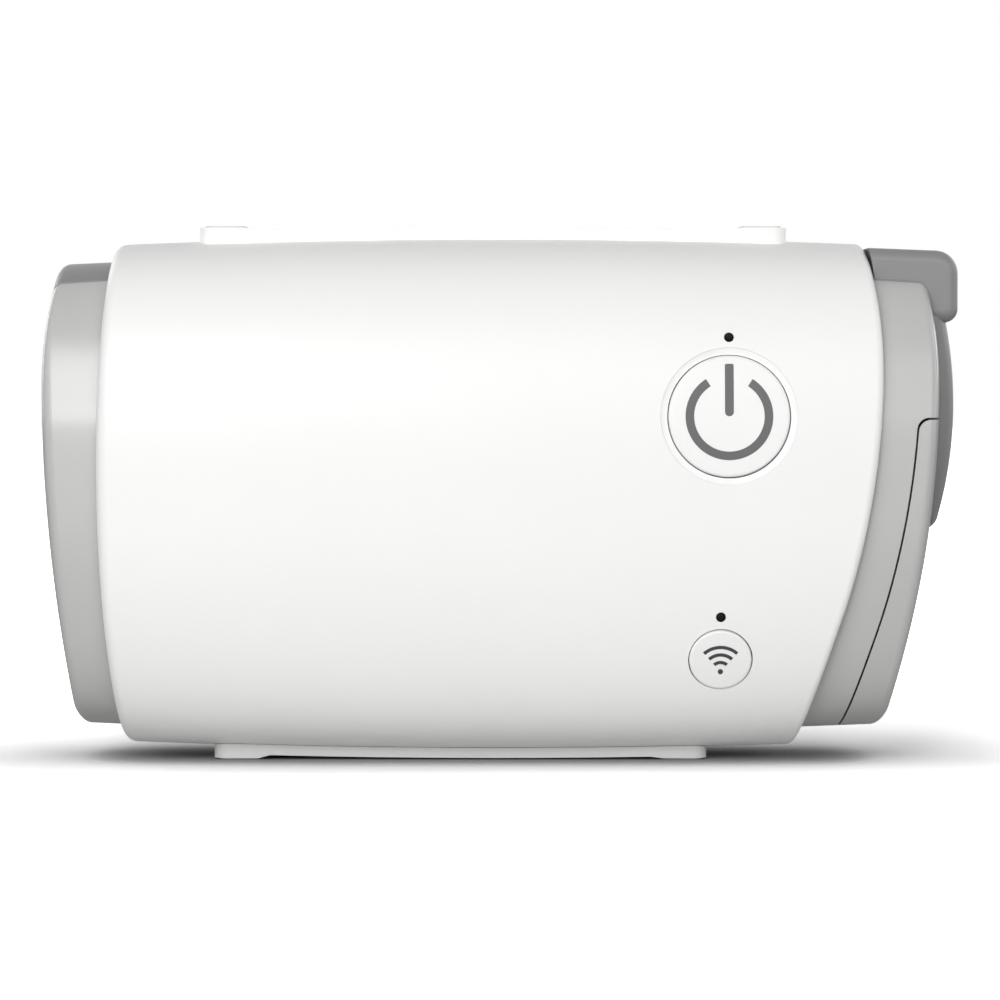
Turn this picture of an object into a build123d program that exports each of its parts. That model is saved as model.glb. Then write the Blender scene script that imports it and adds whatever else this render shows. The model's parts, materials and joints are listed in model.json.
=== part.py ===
from build123d import *
from math import asin, cos, hypot, radians, sin, sqrt, tan
import os

os.makedirs("parts", exist_ok=True)

# Palm-size travel CPAP machine, standing on its lower rail.
# X runs along the machine, Y from the front (negative) to the rear, Z up.
# The origin is the middle of the footprint, on the surface the machine stands on.

# ---- Driving dimensions, millimetres ----

# Wrap-around housing: a barrel of superelliptic sections, crowned along X
overall_length = 133.8
housing_half_depth = 25.6
housing_half_height = 37.65
depth_crown = 1.2  # lost from the half depth at crown_station
height_crown = 1.05  # lost from the half height at crown_station
crown_end_distance = 14.0  # crown_station to the end of the machine
section_power = 3.0  # 2 is an ellipse, larger is squarer
housing_wall = 2.2
left_rim_roll = 1.8  # rounding of the housing's open ends
right_rim_roll = 1.05
ground_gap = 1.25  # floor to the housing, at mid length
rear_stand_off = 0.8  # rear rest plane to the housing
cut_margin = 8.0  # how far construction outlines run past the machine
tongue_depth = 1.2  # lip that keys the two shells together
tongue_share = 0.3  # of the wall's thickness
tongue_play = 0.05
tongue_set_back = 6.0  # from the rims

# Left rim of the housing, a shallow arc
left_reveal = 9.21  # end of the machine to the rim
left_rim_radius = 300.0
left_rim_rise = 5.5  # apex above the housing axis

# Right rim: an upper arc, a main arc and a straight slanted run
right_reveal = 9.42
right_rim_upper_radius = 80.0
right_rim_radius = 120.0
right_rim_slant = 18.0  # degrees from the vertical at the bottom
right_rim_rise = 19.1

# Ends of the inner body, crowned both ways
shell_gap = 0.3  # housing to what it slides over
frame_wall = 2.0
left_end_radius = 235.0  # below the widest point
right_end_radius = 153.0
end_upper_radius = 55.0  # above it
end_rise = 15.9
end_plan_radius = 140.0
end_top_corner = 4.6
end_bottom_corner = 6.6
end_edge_roll = 1.5
end_corner_lift = 0.5  # corner arcs run out this far beyond the barrel
end_corner_slope = 16.0
cap_tuck = 5.0  # how far the end caps reach under the housing
cap_front_split = 13.35  # light cap in front of this distance from the axis
cap_lower_split = 7.0  # light cap below this distance under the axis
cap_split_corner = 6.0
panel_gap = 0.3  # visible gap between neighbouring panels
wall_overlap = 0.2  # how far inner walls run into the shell
post_embed = 0.5  # posts start this far into the wall they stand on

# Filter cover, lower right
filter_seam_offset = 5.4  # outward from the right rim
filter_top_rise = 11.1  # top edge above the housing axis
filter_corner = 1.8
filter_thickness = 2.0
filter_play = 0.3
filter_edge_play = 0.4
filter_top_gap = 1.2
thumb_radius = 6.4  # shallow recess for the thumb
thumb_overhang = 4.6
thumb_forward = 22.0
thumb_drop = 8.5
inlet_slots = 5
inlet_slot_width = 1.8
inlet_slot_pitch = 4.0
inlet_slot_low = 26.0  # below the housing axis
inlet_slot_high = 4.0  # below the light cap's edge
bulkhead_wall = 1.6
bulkhead_rise = 2.0  # above the cover's top edge
grille_slots = 6
grille_slot_length = 14.0
grille_slot_width = 1.8
grille_pitch = 3.6
grille_drop = 12.0
grille_shift = 1.0

# Power hump and outlet boss on the right end
hump_overhang = 2.12  # beyond the right end
hump_top_drop = 1.85  # at the rim, below the housing's top at mid length
hump_top_fall = 0.45  # from the rim to the hump's outer end
hump_height = 10.8
hump_outer_corner = 3.3
hump_inner_corner = 2.0
hump_edge_roll = 1.7
hump_root = 8.0  # how far it runs in under the housing
boss_set_back = 0.1  # hump and boss lie this far behind the light caps' edge
boss_overhang = 1.59
boss_radius = 62.0
boss_rise = 13.3
boss_bottom_rise = -5.2
boss_corner = 2.6
boss_edge_roll = 2.34
boss_root = 2.0  # left end of the boss beyond the housing's rim

# Air outlet, a 15 mm socket
outlet_bore_radius = 7.6
outlet_bore_depth = 12.3
outlet_wall = 2.0
outlet_throat_radius = 6.4
outlet_shoulder = 2.0
outlet_mouth_round = 0.45
outlet_proud = 0.15  # of the boss where the port meets it
outlet_flange_radius = 11.6
outlet_flange_thickness = 1.8
outlet_flange_gap = 1.6
seal_groove_radius = 8.4
seal_thickness = 1.5
seal_set_back = 0.2  # groove to the seal's face

# Power socket, for a 5.5 x 2.1 mm barrel plug
jack_body_radius = 4.0
jack_socket_radius = 2.85
jack_socket_depth = 9.0
jack_pin_radius = 1.0
jack_pin_set_back = 1.2
jack_pin_round = 0.4
jack_recess = 1.2
jack_floor = 1.6
jack_shoulder = 0.8  # ledge that the body seats on

# Rails
rail_width = 18.0
rail_left_inset = 23.36  # top rail's left end from the machine's left end
top_rail_length = 85.7
bottom_rail_left_inset = 25.36
bottom_rail_length = 72.1
rail_pad_length = 6.6
rail_pad_slope = 1.6
rail_end_radius = 2.0
top_rail_strip = 1.3
top_rail_total = 1.45  # pad tops above the housing at mid length
bottom_rail_strip = 1.0
rail_root = 2.0
pad_thickness = 0.45
pad_margin = 0.8
pad_corner = 1.2

# Feet and screws on the rear
foot_radius = 4.5
foot_x = 38.0
foot_rise = 17.0
foot_round = 0.6
screw_radius = 1.1
screw_head_radius = 2.2
screw_head_height = 0.9
screw_head_sink = 1.2  # seat below the housing's rear face
screw_drive_radius = 0.9
screw_drive_depth = 0.5
screw_length = 8.0
post_wall = 2.0
post_floor = 1.0
fit_gap = 0.1  # radial clearance of screws and pins

# Start button
start_x_inset = 22.25  # from the right rim's apex
start_rise = 11.5
start_radius = 8.72
start_dish_radius = 9.86
start_dish_depth = 0.3
button_gap = 0.15
button_proud = 0.12
button_edge_round = 0.3
button_back_gap = 0.08  # wall to the lip behind it
button_flange = 0.9
button_flange_lip = 1.0
start_stem_radius = 2.0
start_stem_height = 1.2
start_stem_reach = 0.45

# Pairing button
pairing_x_inset = 23.4
pairing_drop = 23.5
pairing_radius = 4.49
pairing_proud = 0.3

# Indicator lenses
lens_radius = 0.66
lens_gap = 0.04
lens_proud = 0.1
lens_round = 0.3
lens_foot_gap = 0.9
lens_clearance = 0.5  # notch in a button's lip round a lens
start_lens_rise = 11.3  # above the start button
pairing_lens_rise = 6.2  # above the pairing button

# Main board, on bosses of the front cover
board_thickness = 1.6
board_depth = 8.4  # board front behind the housing's foremost point
board_left = -44.0
board_right = 38.5
board_half_height = 26.0
board_corner = 3.0
board_boss_x = (-38.0, 19.0)
board_boss_rise = 20.5
board_boss_radius = 2.6
board_screw_radius = 0.8
board_screw_head_radius = 2.0
board_screw_head_height = 1.1
board_pilot_floor = 1.0
board_screw_end_gap = 0.3
board_drive_radius = 0.7
board_drive_depth = 0.5
chip_round = 0.25
radio_inset = 3.0
radio_width = 12.0
radio_height = 16.0
radio_thickness = 2.0
radio_round = 0.5
start_switch_size = 6.0
start_switch_thickness = 2.3
plunger_radius = 1.6
plunger_reach = 0.4
pairing_switch_size = 4.0
pairing_switch_thickness = 1.0
pairing_switch_rise = 1.9  # under the middle of the tilted button's back
sensor_size = 6.0
sensor_thickness = 1.6
nipple_radius = 0.9
nipple_gap = 0.6
tube_radius = 1.7

# Blower: impeller, scroll and motor, on an axis along Y
blower_x = 14.0
blower_drop = 5.4
impeller_radius = 18.0
impeller_hub_radius = 5.0
blade_count = 11
blade_thickness = 0.9
blade_height = 7.5
blade_curl = 0.8  # below 1 the sweep is strongest at the root
blade_sweep = 52.0  # degrees between root and tip
impeller_plate = 0.9
hub_set_back = 1.5  # nose behind the blades' front edges
blade_slope = 2.2  # blades are lower by this at their tips
running_gap = 0.6
blade_front_gap = 1.1  # scroll's front wall to the blades
tongue_gap = 2.3
scroll_growth = 4.7
scroll_start = 60.0  # degrees, above +X
scroll_turn = 330.0
scroll_wall = 1.5
duct_height = 12.0
duct_reach = 30.0
duct_overrun = 5.0
duct_corner = 1.2
eye_radius = 9.5
eye_lip_width = 1.4
eye_lip_height = 1.2
ear_radius = 2.3
ear_offset = 1.2
ear_angles = (-25.0, -125.0, 165.0)  # degrees above +X
blower_screw_radius = 0.8
blower_screw_head_radius = 1.6
blower_screw_head_height = 1.0
blower_drive_radius = 0.6
damper_radius = 2.8
damper_length = 7.0
damper_clearance = 1.6
damper_angles = (95.0, 215.0, 325.0)
damper_waist_radius = 1.4
damper_waist_offset = 0.7
blower_front = -9.0  # inner face of the scroll's front wall
shaft_radius = 1.0
shaft_gap = 0.02
shaft_round = 0.25
shaft_front_reach = 4.0
shaft_back_gap = 0.3
motor_radius = 13.0
motor_length = 12.5
motor_wall = 1.0
motor_rim_round = 0.8
magnet_radius = 5.0
magnet_front_gap = 1.6
magnet_back_gap = 0.6
air_gap = 0.4
tooth_count = 6
tooth_width = 2.6
stator_ring = 1.8
coil_wrap = 0.9
coil_play = 0.02
coil_round = 0.72
coil_end_gap = 0.3
coil_tip_gap = 0.5
bearing_radius = 3.0
bearing_length = 2.2
bearing_front_gap = 0.3
bearing_back_sink = 0.4
bearing_boss_wall = 0.9
bearing_groove_radius = 2.0
bearing_groove_depth = 0.25
shaft_hole_gap = 0.5

# Leads
motor_lead_radius = 0.55
lead_slot_gap = 0.25
motor_lead_pitch = 1.5
motor_lead_rise = 1.9  # behind the scroll
motor_lead_gap = 2.6  # beside the scroll
power_lead_radius = 0.7
power_lead_half_pitch = 1.0
power_lead_spread = 1.1
power_lead_gap = 2.0
power_lead_drop = 4.8
lead_bend = 1.5
power_header_inset = 6.0  # from the board's right edge
power_header_thickness = 2.2
motor_header_thickness = 2.4

# Inlet duct and muffler
inlet_low = 23.5  # below the housing axis
inlet_high = 0.5
inlet_front = 7.5
inlet_back = 9.5
inlet_wall = 1.2
inlet_corner = 1.5
inlet_gap = 4.2
foam_gap = 1.4
foam_front = 4.0  # behind the board
foam_play = 0.4
foam_channel_radius = 6.5
foam_channel_start = 12.0

# ---- Derived places ----

crown_station = overall_length / 2 - crown_end_distance
axis_y = -rear_stand_off / 2
axis_z = housing_half_height + ground_gap
front_y = axis_y - housing_half_depth
left_end_x = -overall_length / 2
hump_end_x = overall_length / 2
right_end_x = hump_end_x - hump_overhang
left_rim_x = left_end_x + left_reveal
right_rim_x = right_end_x - right_reveal
right_rim_z = axis_z + right_rim_rise
frame_inset = housing_wall + shell_gap
cavity_inset = frame_inset + frame_wall
split_y = axis_y - cap_front_split
split_z = axis_z - cap_lower_split
filter_top_z = axis_z + filter_top_rise
bulkhead_offset = filter_seam_offset - panel_gap
start_x = right_rim_x - start_x_inset
start_z = axis_z + start_rise
pairing_x = right_rim_x - pairing_x_inset
pairing_z = axis_z - pairing_drop
outlet_z = axis_z + boss_rise
hump_top = axis_z + housing_half_height - hump_top_drop
jack_z = hump_top - (hump_height + hump_top_fall) / 2
boss_half_width = cap_front_split - panel_gap / 2 - boss_set_back
board_front = front_y + board_depth
board_back = board_front + board_thickness
blower_z = axis_z - blower_drop
blower_back = blower_front + blade_front_gap + blade_height + impeller_plate + running_gap
reach = 2 * housing_half_depth  # long enough to cut right through in Y
far = overall_length


# ---- Shapes of the barrel ----

def half_depth(x, inset):
    return housing_half_depth - depth_crown * (x / crown_station) ** 2 - inset


def half_height(x, inset):
    return housing_half_height - height_crown * (x / crown_station) ** 2 - inset


def surface_depth(x, rise, inset=0.0):
    """Distance of the front face from the axis, at a height above the axis."""
    share = 1 - abs(rise / half_height(x, inset)) ** section_power
    return half_depth(x, inset) * share ** (1 / section_power)


def surface_slope(x, rise):
    """How steeply the front face falls back with height, as an angle in radians."""
    step = 0.05
    fall = surface_depth(x, rise - step) - surface_depth(x, rise + step)
    return asin(fall / hypot(fall, 2 * step))


def section(x, inset):
    """One cross-section of the barrel: four superelliptic quadrants."""
    deep = half_depth(x, inset)
    high = half_height(x, inset)
    edges = []
    steps = 6
    for quadrant in range(4):
        points = []
        for i in range(steps + 1):
            angle = radians(90 * (quadrant + i / steps))
            c, s = cos(angle), sin(angle)
            c = 0.0 if abs(c) < 1e-9 else c
            s = 0.0 if abs(s) < 1e-9 else s
            y = deep * abs(c) ** (2 / section_power) * (1 if c > 0 else -1)
            z = high * abs(s) ** (2 / section_power) * (1 if s > 0 else -1)
            points.append((x, axis_y + y, axis_z + z))
        start, end = radians(90 * quadrant), radians(90 * (quadrant + 1))
        tangents = [(0, -sin(start), cos(start)), (0, -sin(end), cos(end))]
        edges.append(Spline(*points, tangents=tangents))
    return make_face(edges)


def barrel(inset):
    """The housing's outer form, drawn in by inset, longer than the machine."""
    span = overall_length / 2 + cut_margin
    stations = [-span, -span / 2, 0, span / 2, span]
    return loft([section(x, inset) for x in stations])


def lies_on_barrel(point, inset):
    """Whether a point is on the barrel drawn in by inset, within its spline's own error."""
    across = abs(point.Y - axis_y) / half_depth(point.X, inset)
    up = abs(point.Z - axis_z) / half_height(point.X, inset)
    return abs(across**section_power + up**section_power - 1) < 0.02


def prism(edges):
    """A solid right through the machine in Y from a closed outline in XZ."""
    return extrude(make_face(edges), reach, both=True)


def outline_point(x, z):
    return (x, 0, z)


def polygon(points):
    """A closed run of straight edges in XZ."""
    corners = [outline_point(x, z) for x, z in points]
    return [Line(a, b) for a, b in zip(corners, corners[1:] + corners[:1])]


def right_curve(offset, top, bottom):
    """The right rim from top to bottom, moved outward by offset."""
    turn = radians(right_rim_slant)
    upper = right_rim_upper_radius + offset
    main = right_rim_radius + offset
    upper_centre = right_rim_x - right_rim_upper_radius
    main_centre = right_rim_x - right_rim_radius

    def on_upper(z):
        return outline_point(upper_centre + sqrt(upper**2 - (z - right_rim_z) ** 2), z)

    def on_main(angle):
        return outline_point(main_centre + main * cos(angle), right_rim_z - main * sin(angle))

    apex = outline_point(right_rim_x + offset, right_rim_z)
    low_x, _, low_z = on_main(turn)
    foot = outline_point(low_x - (low_z - bottom) * tan(turn), bottom)
    if top <= right_rim_z:
        start_angle = asin((right_rim_z - top) / main)
        middle = on_main((start_angle + turn) / 2)
        return [ThreePointArc(on_main(start_angle), middle, on_main(turn)), Line(on_main(turn), foot)]
    return [
        ThreePointArc(on_upper(top), on_upper((top + right_rim_z) / 2), apex),
        ThreePointArc(apex, on_main(turn / 2), on_main(turn)),
        Line(on_main(turn), foot),
    ]


def right_of_rim(offset, top=None):
    """Everything to the right of the rim curve moved outward by offset, below top."""
    high = axis_z + housing_half_height + cut_margin if top is None else top
    low = -cut_margin
    curve = right_curve(offset, high, low)
    start = curve[0] @ 0
    end = curve[-1] @ 1
    corners = [outline_point(far, low), outline_point(far, high)]
    edges = curve + [Line(end, corners[0]), Line(corners[0], corners[1]), Line(corners[1], start)]
    return prism(edges)


def left_of_rim(offset):
    """Everything to the left of the left rim moved outward by offset."""
    radius = left_rim_radius
    apex_z = axis_z + left_rim_rise
    high = axis_z + housing_half_height + cut_margin
    low = -cut_margin

    def on_rim(z):
        return outline_point(left_rim_x - offset + radius - sqrt(radius**2 - (z - apex_z) ** 2), z)

    rim = ThreePointArc(on_rim(high), on_rim(apex_z), on_rim(low))
    corners = [outline_point(-far, low), outline_point(-far, high)]
    edges = [rim, Line(on_rim(low), corners[0]), Line(corners[0], corners[1]), Line(corners[1], on_rim(high))]
    return prism(edges)


def end_disc(end_x, side, radius, inset):
    """A wide disc whose edge is one end of the inner body, crowned in height and in plan.

    side is -1 for the left end and 1 for the right.
    """
    middle_x = end_x - side * end_plan_radius
    edge_x = end_x - side * inset
    apex_z = axis_z + end_rise

    def on_end(z):
        bend = end_upper_radius if z > apex_z else radius
        return outline_point(edge_x - side * (bend - sqrt(bend**2 - (z - apex_z) ** 2)), z)

    top = axis_z + half_height(end_x, frame_inset + inset) + end_corner_lift
    bottom = axis_z - half_height(end_x, frame_inset + inset) - end_corner_lift
    slope = tan(radians(end_corner_slope))
    top_corner = max(end_top_corner - inset, 1.0)
    bottom_corner = max(end_bottom_corner - inset, 1.0)
    run = abs(end_x - middle_x)
    high_point = outline_point(middle_x, top + slope * run)
    low_point = outline_point(middle_x, bottom - slope * run)
    face = make_face(
        [
            Line(low_point, on_end(bottom)),
            ThreePointArc(on_end(bottom), on_end((bottom + apex_z) / 2), on_end(apex_z)),
            ThreePointArc(on_end(apex_z), on_end((apex_z + top) / 2), on_end(top)),
            Line(on_end(top), high_point),
            Line(high_point, low_point),
        ]
    )
    upper = [v for v in face.vertices() if abs(v.Z - top) < 1e-4][0]
    face = fillet(upper, top_corner)
    lower = [v for v in face.vertices() if abs(v.Z - bottom) < 1e-4][0]
    face = fillet(lower, bottom_corner)
    return revolve(face, Axis((middle_x, axis_y, 0), (0, 0, 1)))


def inner_body(inset, end_inset):
    """The closed form under the housing, whose ends show beyond its rims."""
    body = barrel(inset)
    body &= end_disc(left_end_x, -1, left_end_radius, end_inset)
    body &= end_disc(right_end_x, 1, right_end_radius, end_inset)
    return body


def end_edges(body):
    """Edges all round the two ends of the inner body."""
    found = []
    for face in body.faces():
        if face.geom_type != GeomType.REVOLUTION:
            continue
        for edge in face.edges():
            neighbours = [f for f in body.faces() if any(e.is_same(edge) for e in f.edges())]
            if any(f.geom_type != GeomType.REVOLUTION for f in neighbours):
                found.append(edge)
    return found


def rolled_body():
    """The inner body with its end edges rolled over."""
    body = inner_body(frame_inset, 0.0)
    return body.fillet(end_edge_roll, end_edges(body))


def block(x, y, z):
    """A box between pairs of limits."""
    size = (x[1] - x[0], y[1] - y[0], z[1] - z[0])
    middle = ((x[0] + x[1]) / 2, (y[0] + y[1]) / 2, (z[0] + z[1]) / 2)
    return Pos(*middle) * Box(*size)


def rod(radius, start, end, x=0.0, z=0.0):
    """A round bar along Y between two depths."""
    place = Plane(origin=(x, start, z), x_dir=(1, 0, 0), z_dir=(0, 1, 0))
    return place * Cylinder(radius, end - start, align=(Align.CENTER, Align.CENTER, Align.MIN))


def rod_x(radius, start, end, y=0.0, z=0.0):
    """A round bar along X between two stations."""
    place = Plane(origin=(start, y, z), x_dir=(0, 1, 0), z_dir=(1, 0, 0))
    return place * Cylinder(radius, end - start, align=(Align.CENTER, Align.CENTER, Align.MIN))


def light_zone(gap):
    """In front of and below the split lines, where the end shells are light grey."""
    far_y, far_z = reach, 2 * axis_z
    corner = cap_split_corner
    y, z = split_y - gap, split_z - gap
    wedge = Plane.YZ * make_face(
        Polyline((y, far_z), (y, z + corner), (y, z), (y + corner, z), (far_y, z), (far_y, far_z), close=True)
    )
    bend = [v for v in wedge.vertices() if abs(v.Y - y) < 1e-6 and abs(v.Z - z) < 1e-6]
    wedge = fillet(bend, corner * 0.999)
    dark = extrude(wedge, 2 * far, both=True)
    return block((-far, far), (-reach, reach), (-far, far)) - dark


def left_tuck(offset):
    """Left of the line where the left end shell stops under the housing."""
    return left_of_rim(-cap_tuck + offset)


# ---- Housing ----

def button_frame(x, z):
    """Plane on the housing's face whose normal points out of the machine."""
    rise = z - axis_z
    tilt = surface_slope(x, abs(rise)) * (1 if rise > 0 else -1)
    y = axis_y - surface_depth(x, rise)
    return Plane(origin=(x, y, z), x_dir=(1, 0, 0), z_dir=(0, -cos(tilt), sin(tilt)))


def button_bar(x, z, radius, outward=6.0, inward=8.0):
    """A round bar along a button's axis, through the housing wall."""
    bar = Cylinder(radius, outward + inward, align=(Align.CENTER, Align.CENTER, Align.MIN))
    return button_frame(x, z) * Pos(0, 0, -inward) * bar


def rim_edges(body, side):
    """Outer edges round one open end; side is -1 for the left end and 1 for the right."""
    ends = [e for e in body.edges() if side * e.center().X > overall_length / 4]
    return [e for e in ends if lies_on_barrel(e @ 0.5, 0.0)]


def housing():
    """The wrap-around sleeve, before it is split into its two shells."""
    body = barrel(0.0) - left_of_rim(0.0) - right_of_rim(0.0)
    body = body.fillet(left_rim_roll, rim_edges(body, -1))
    body = body.fillet(right_rim_roll, rim_edges(body, 1))
    return body - barrel(housing_wall)


def tongue(gap):
    """The thin lip on the rear shell that keys into the front shell."""
    outer, inner = housing_wall * (1 - tongue_share) / 2, housing_wall * (1 + tongue_share) / 2
    lip = barrel(outer - gap) - barrel(inner + gap)
    depth = tongue_depth + gap
    lip &= block((-far, far), (axis_y - depth, axis_y + gap), (-far, far))
    return lip - left_of_rim(gap - tongue_set_back) - right_of_rim(gap - tongue_set_back)


def front_cover(sleeve):
    body = sleeve & block((-far, far), (-reach, axis_y), (-far, far))
    body -= tongue(tongue_play)
    dish = button_bar(start_x, start_z, start_dish_radius, inward=2 * housing_wall)
    body -= dish - barrel(start_dish_depth)
    body -= button_bar(start_x, start_z, start_radius + button_gap)
    body -= button_bar(pairing_x, pairing_z, pairing_radius + button_gap)
    for x, z in lens_places():
        body -= rod(lens_radius + lens_gap, -reach, board_front, x, z)
    for x, z in board_boss_places():
        boss = rod(board_boss_radius, front_y, board_front, x, z)
        boss &= barrel(housing_wall / 2)
        pilot_end = front_y + housing_wall + board_pilot_floor
        pilot = rod(board_screw_radius + fit_gap, pilot_end, board_front, x, z)
        body = body + boss - pilot
    return body


def rear_cover(sleeve):
    body = sleeve & block((-far, far), (axis_y, reach), (-far, far))
    body += tongue(0.0)
    for x, z in foot_places():
        seat = screw_seat(x, z)
        body -= rod(screw_head_radius + fit_gap, seat, reach, x, z)
        body -= rod(screw_radius + fit_gap, 0, reach, x, z)
    return body


# ---- Places that several pieces share ----

def foot_places():
    return [(sx * foot_x, axis_z + sz * foot_rise) for sx in (-1, 1) for sz in (-1, 1)]


def screw_seat(x, z):
    """Depth of the flat that a rear screw's head pulls against."""
    return axis_y + surface_depth(x, abs(z - axis_z)) - screw_head_sink


def board_boss_places():
    return [(x, axis_z + sz * board_boss_rise) for x in board_boss_x for sz in (-1, 1)]


def lens_places():
    return [(start_x, start_z + start_lens_rise), (pairing_x, pairing_z + pairing_lens_rise)]


# ---- Inner frame and end shells ----

def hump():
    """The block that holds the power socket, outside the housing at the upper right."""
    low = hump_top - hump_height
    left = right_rim_x - hump_root
    left_top = hump_top + hump_top_fall * hump_root / (hump_end_x - right_rim_x)
    end_top = hump_top - hump_top_fall
    face = make_face(polygon([(left, low), (hump_end_x, low), (hump_end_x, end_top), (left, left_top)]))
    upper = [v for v in face.vertices() if v.X > left + 1 and v.Z > low + 1]
    face = fillet(upper, hump_outer_corner)
    lower = [v for v in face.vertices() if v.X > hump_end_x - 1e-3 and abs(v.Z - low) < 1e-3]
    face = fillet(lower, hump_inner_corner)
    solid = Pos(0, axis_y, 0) * extrude(face, boss_half_width, both=True)
    long_edges = [e for e in solid.edges() if abs((e @ 0).Y - (e @ 1).Y) < 1e-6]
    long_edges = [e for e in long_edges if e.center().X > left + 1]
    solid = solid.fillet(hump_edge_roll, long_edges)
    return solid & right_of_rim(panel_gap)


def outlet_boss():
    """The crowned boss round the air outlet, which runs up into the hump."""
    apex_x = right_end_x + boss_overhang
    apex_z = outlet_z
    low = axis_z + boss_bottom_rise
    high = jack_z
    left = right_rim_x + panel_gap + boss_root

    def on_boss(z):
        return outline_point(apex_x - boss_radius + sqrt(boss_radius**2 - (z - apex_z) ** 2), z)

    edges = [
        ThreePointArc(on_boss(low), on_boss(apex_z), on_boss(high)),
        Line(on_boss(high), outline_point(left, high)),
        Line(outline_point(left, high), outline_point(left, low)),
        Line(outline_point(left, low), on_boss(low)),
    ]
    face = make_face(edges)
    corner = [v for v in face.vertices() if abs(v.Z - low) < 1e-6 and v.X > left + 1]
    face = fillet(corner, boss_corner)
    solid = Pos(0, axis_y, 0) * extrude(face, boss_half_width, both=True)
    front = axis_y - boss_half_width
    back = axis_y + boss_half_width
    outer = []
    for edge in solid.edges():
        flat = abs(edge.center().Y - front) < 1e-3 or abs(edge.center().Y - back) < 1e-3
        if flat and edge.center().X > (left + apex_x) / 2 and edge.center().Z < high - 1e-3:
            outer.append(edge)
    return solid.fillet(boss_edge_roll, outer)


def hollow(overlap=0.0):
    """The space inside the frame and its ends, grown by overlap into their walls."""
    return inner_body(cavity_inset - overlap, frame_wall - overlap)


def frame_shell():
    """Outer skin of the inner body, before it is divided."""
    return rolled_body() - hollow()


def split_wall():
    """Walls inside the ends, along the line between light and dark."""
    wall = light_zone(-frame_wall - panel_gap / 2) - light_zone(-panel_gap / 2)
    return wall & hollow(wall_overlap)


def light_part(skin, gap):
    return skin & light_zone(gap)


def chassis(skin):
    gap = panel_gap / 2
    open_front = block((-far, far), (-reach, split_y + gap), (-far, far))
    body = skin - open_front
    ends = left_tuck(-panel_gap) + right_of_rim(-cap_tuck - panel_gap)
    body -= ends & light_zone(-gap)
    body += split_wall() & (left_tuck(-panel_gap) + right_of_rim(bulkhead_offset - bulkhead_wall))
    body += hump()
    body += (outlet_boss() & right_of_rim(panel_gap + boss_root)) - light_zone(-gap)
    body -= rod_x(outlet_port_radius() + fit_gap / 2, port_back(), far, axis_y, outlet_z)
    body -= rod_x(outlet_flange_radius + fit_gap, port_back(), port_flange_x() + fit_gap / 2, axis_y, outlet_z)
    body -= rod_x(jack_body_radius + fit_gap / 2, jack_back() - fit_gap, far, axis_y, jack_z)
    body -= rod_x(jack_body_radius - jack_shoulder, right_rim_x - boss_root, jack_back(), axis_y, jack_z)
    for x, z in foot_places():
        post_end = screw_seat(x, z) + screw_head_height - screw_length - post_floor
        body += rod(screw_radius + post_wall, post_end, reach, x, z) & barrel(frame_inset + post_embed)
        body -= rod(screw_radius, post_end - 1, reach, x, z)
    for x, z in damper_places():
        body += rod(damper_radius, damper_end(), reach, x, z) & barrel(frame_inset + post_embed)
    return body


def left_end_cap(skin):
    body = light_part(skin, panel_gap / 2) & left_tuck(0.0)
    return largest(body)


def filter_zone(gap):
    """Right of the seam and below the top edge, where the filter cover is."""
    top = filter_top_z - gap
    low = -cut_margin
    curve = right_curve(filter_seam_offset + gap, top, low)
    start, end = curve[0] @ 0, curve[-1] @ 1
    corners = [outline_point(far, low), outline_point(far, top)]
    edges = curve + [Line(end, corners[0]), Line(corners[0], corners[1]), Line(corners[1], start)]
    face = make_face(edges)
    near = [v for v in face.vertices() if abs(v.Z - top) < 1e-6 and v.X < far - 1]
    return extrude(fillet(near, filter_corner), reach, both=True)


def bulkhead():
    """The curved wall behind the filter."""
    top = filter_top_z + bulkhead_rise
    return right_of_rim(bulkhead_offset - bulkhead_wall, top) - right_of_rim(bulkhead_offset, top + 1)


def grille_cuts():
    """Slots of the inlet grille, one above the other through the bulkhead."""
    cuts = []
    for i in range(grille_slots):
        z = axis_z - grille_drop + (i - (grille_slots - 1) / 2) * grille_pitch
        slot = Plane.YZ * SlotOverall(grille_slot_length, grille_slot_width)
        cuts.append(Pos(0, axis_y + grille_shift, z) * extrude(slot, far))
    return cuts


def right_end_cap(skin):
    gap = panel_gap / 2
    body = light_part(skin, gap) & right_of_rim(-cap_tuck)
    body -= filter_zone(-gap)
    wall = bulkhead() & hollow(wall_overlap) & light_zone(gap)
    for cut in grille_cuts():
        wall -= cut
    shelf = block((0, far), (-reach, reach), (filter_top_z + gap, filter_top_z + gap + bulkhead_wall))
    shelf &= right_of_rim(bulkhead_offset - bulkhead_wall) & light_zone(gap)
    shelf &= hollow(wall_overlap)
    return largest(body + wall + shelf)


def filter_cover(skin):
    gap = panel_gap / 2
    body = light_part(skin, gap) & filter_zone(gap)
    body = largest(body)
    low = axis_z - inlet_slot_low
    high = split_z - inlet_slot_high
    for i in range(inlet_slots):
        y = axis_y + (i - (inlet_slots - 1) / 2) * inlet_slot_pitch
        slot = Plane.YZ * SlotOverall(high - low, inlet_slot_width, rotation=90)
        body -= Pos(0, y, (low + high) / 2) * extrude(slot, far)
    thumb_place = Pos(right_end_x + thumb_overhang, axis_y - thumb_forward, filter_top_z - thumb_drop)
    return body - thumb_place * Sphere(thumb_radius)


def air_filter():
    """A thin fibre pad that lies against the bulkhead."""
    near = bulkhead_offset + filter_play
    pad = right_of_rim(near, filter_top_z - filter_top_gap)
    pad -= right_of_rim(near + filter_thickness, filter_top_z)
    pad &= hollow(-filter_edge_play)
    pad &= light_zone(panel_gap / 2 + wall_overlap)
    return largest(pad)


def largest(body):
    return max(body.solids(), key=lambda s: s.volume)


# ---- Air outlet and power socket ----

def outlet_port_radius():
    return outlet_bore_radius + outlet_wall


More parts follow.
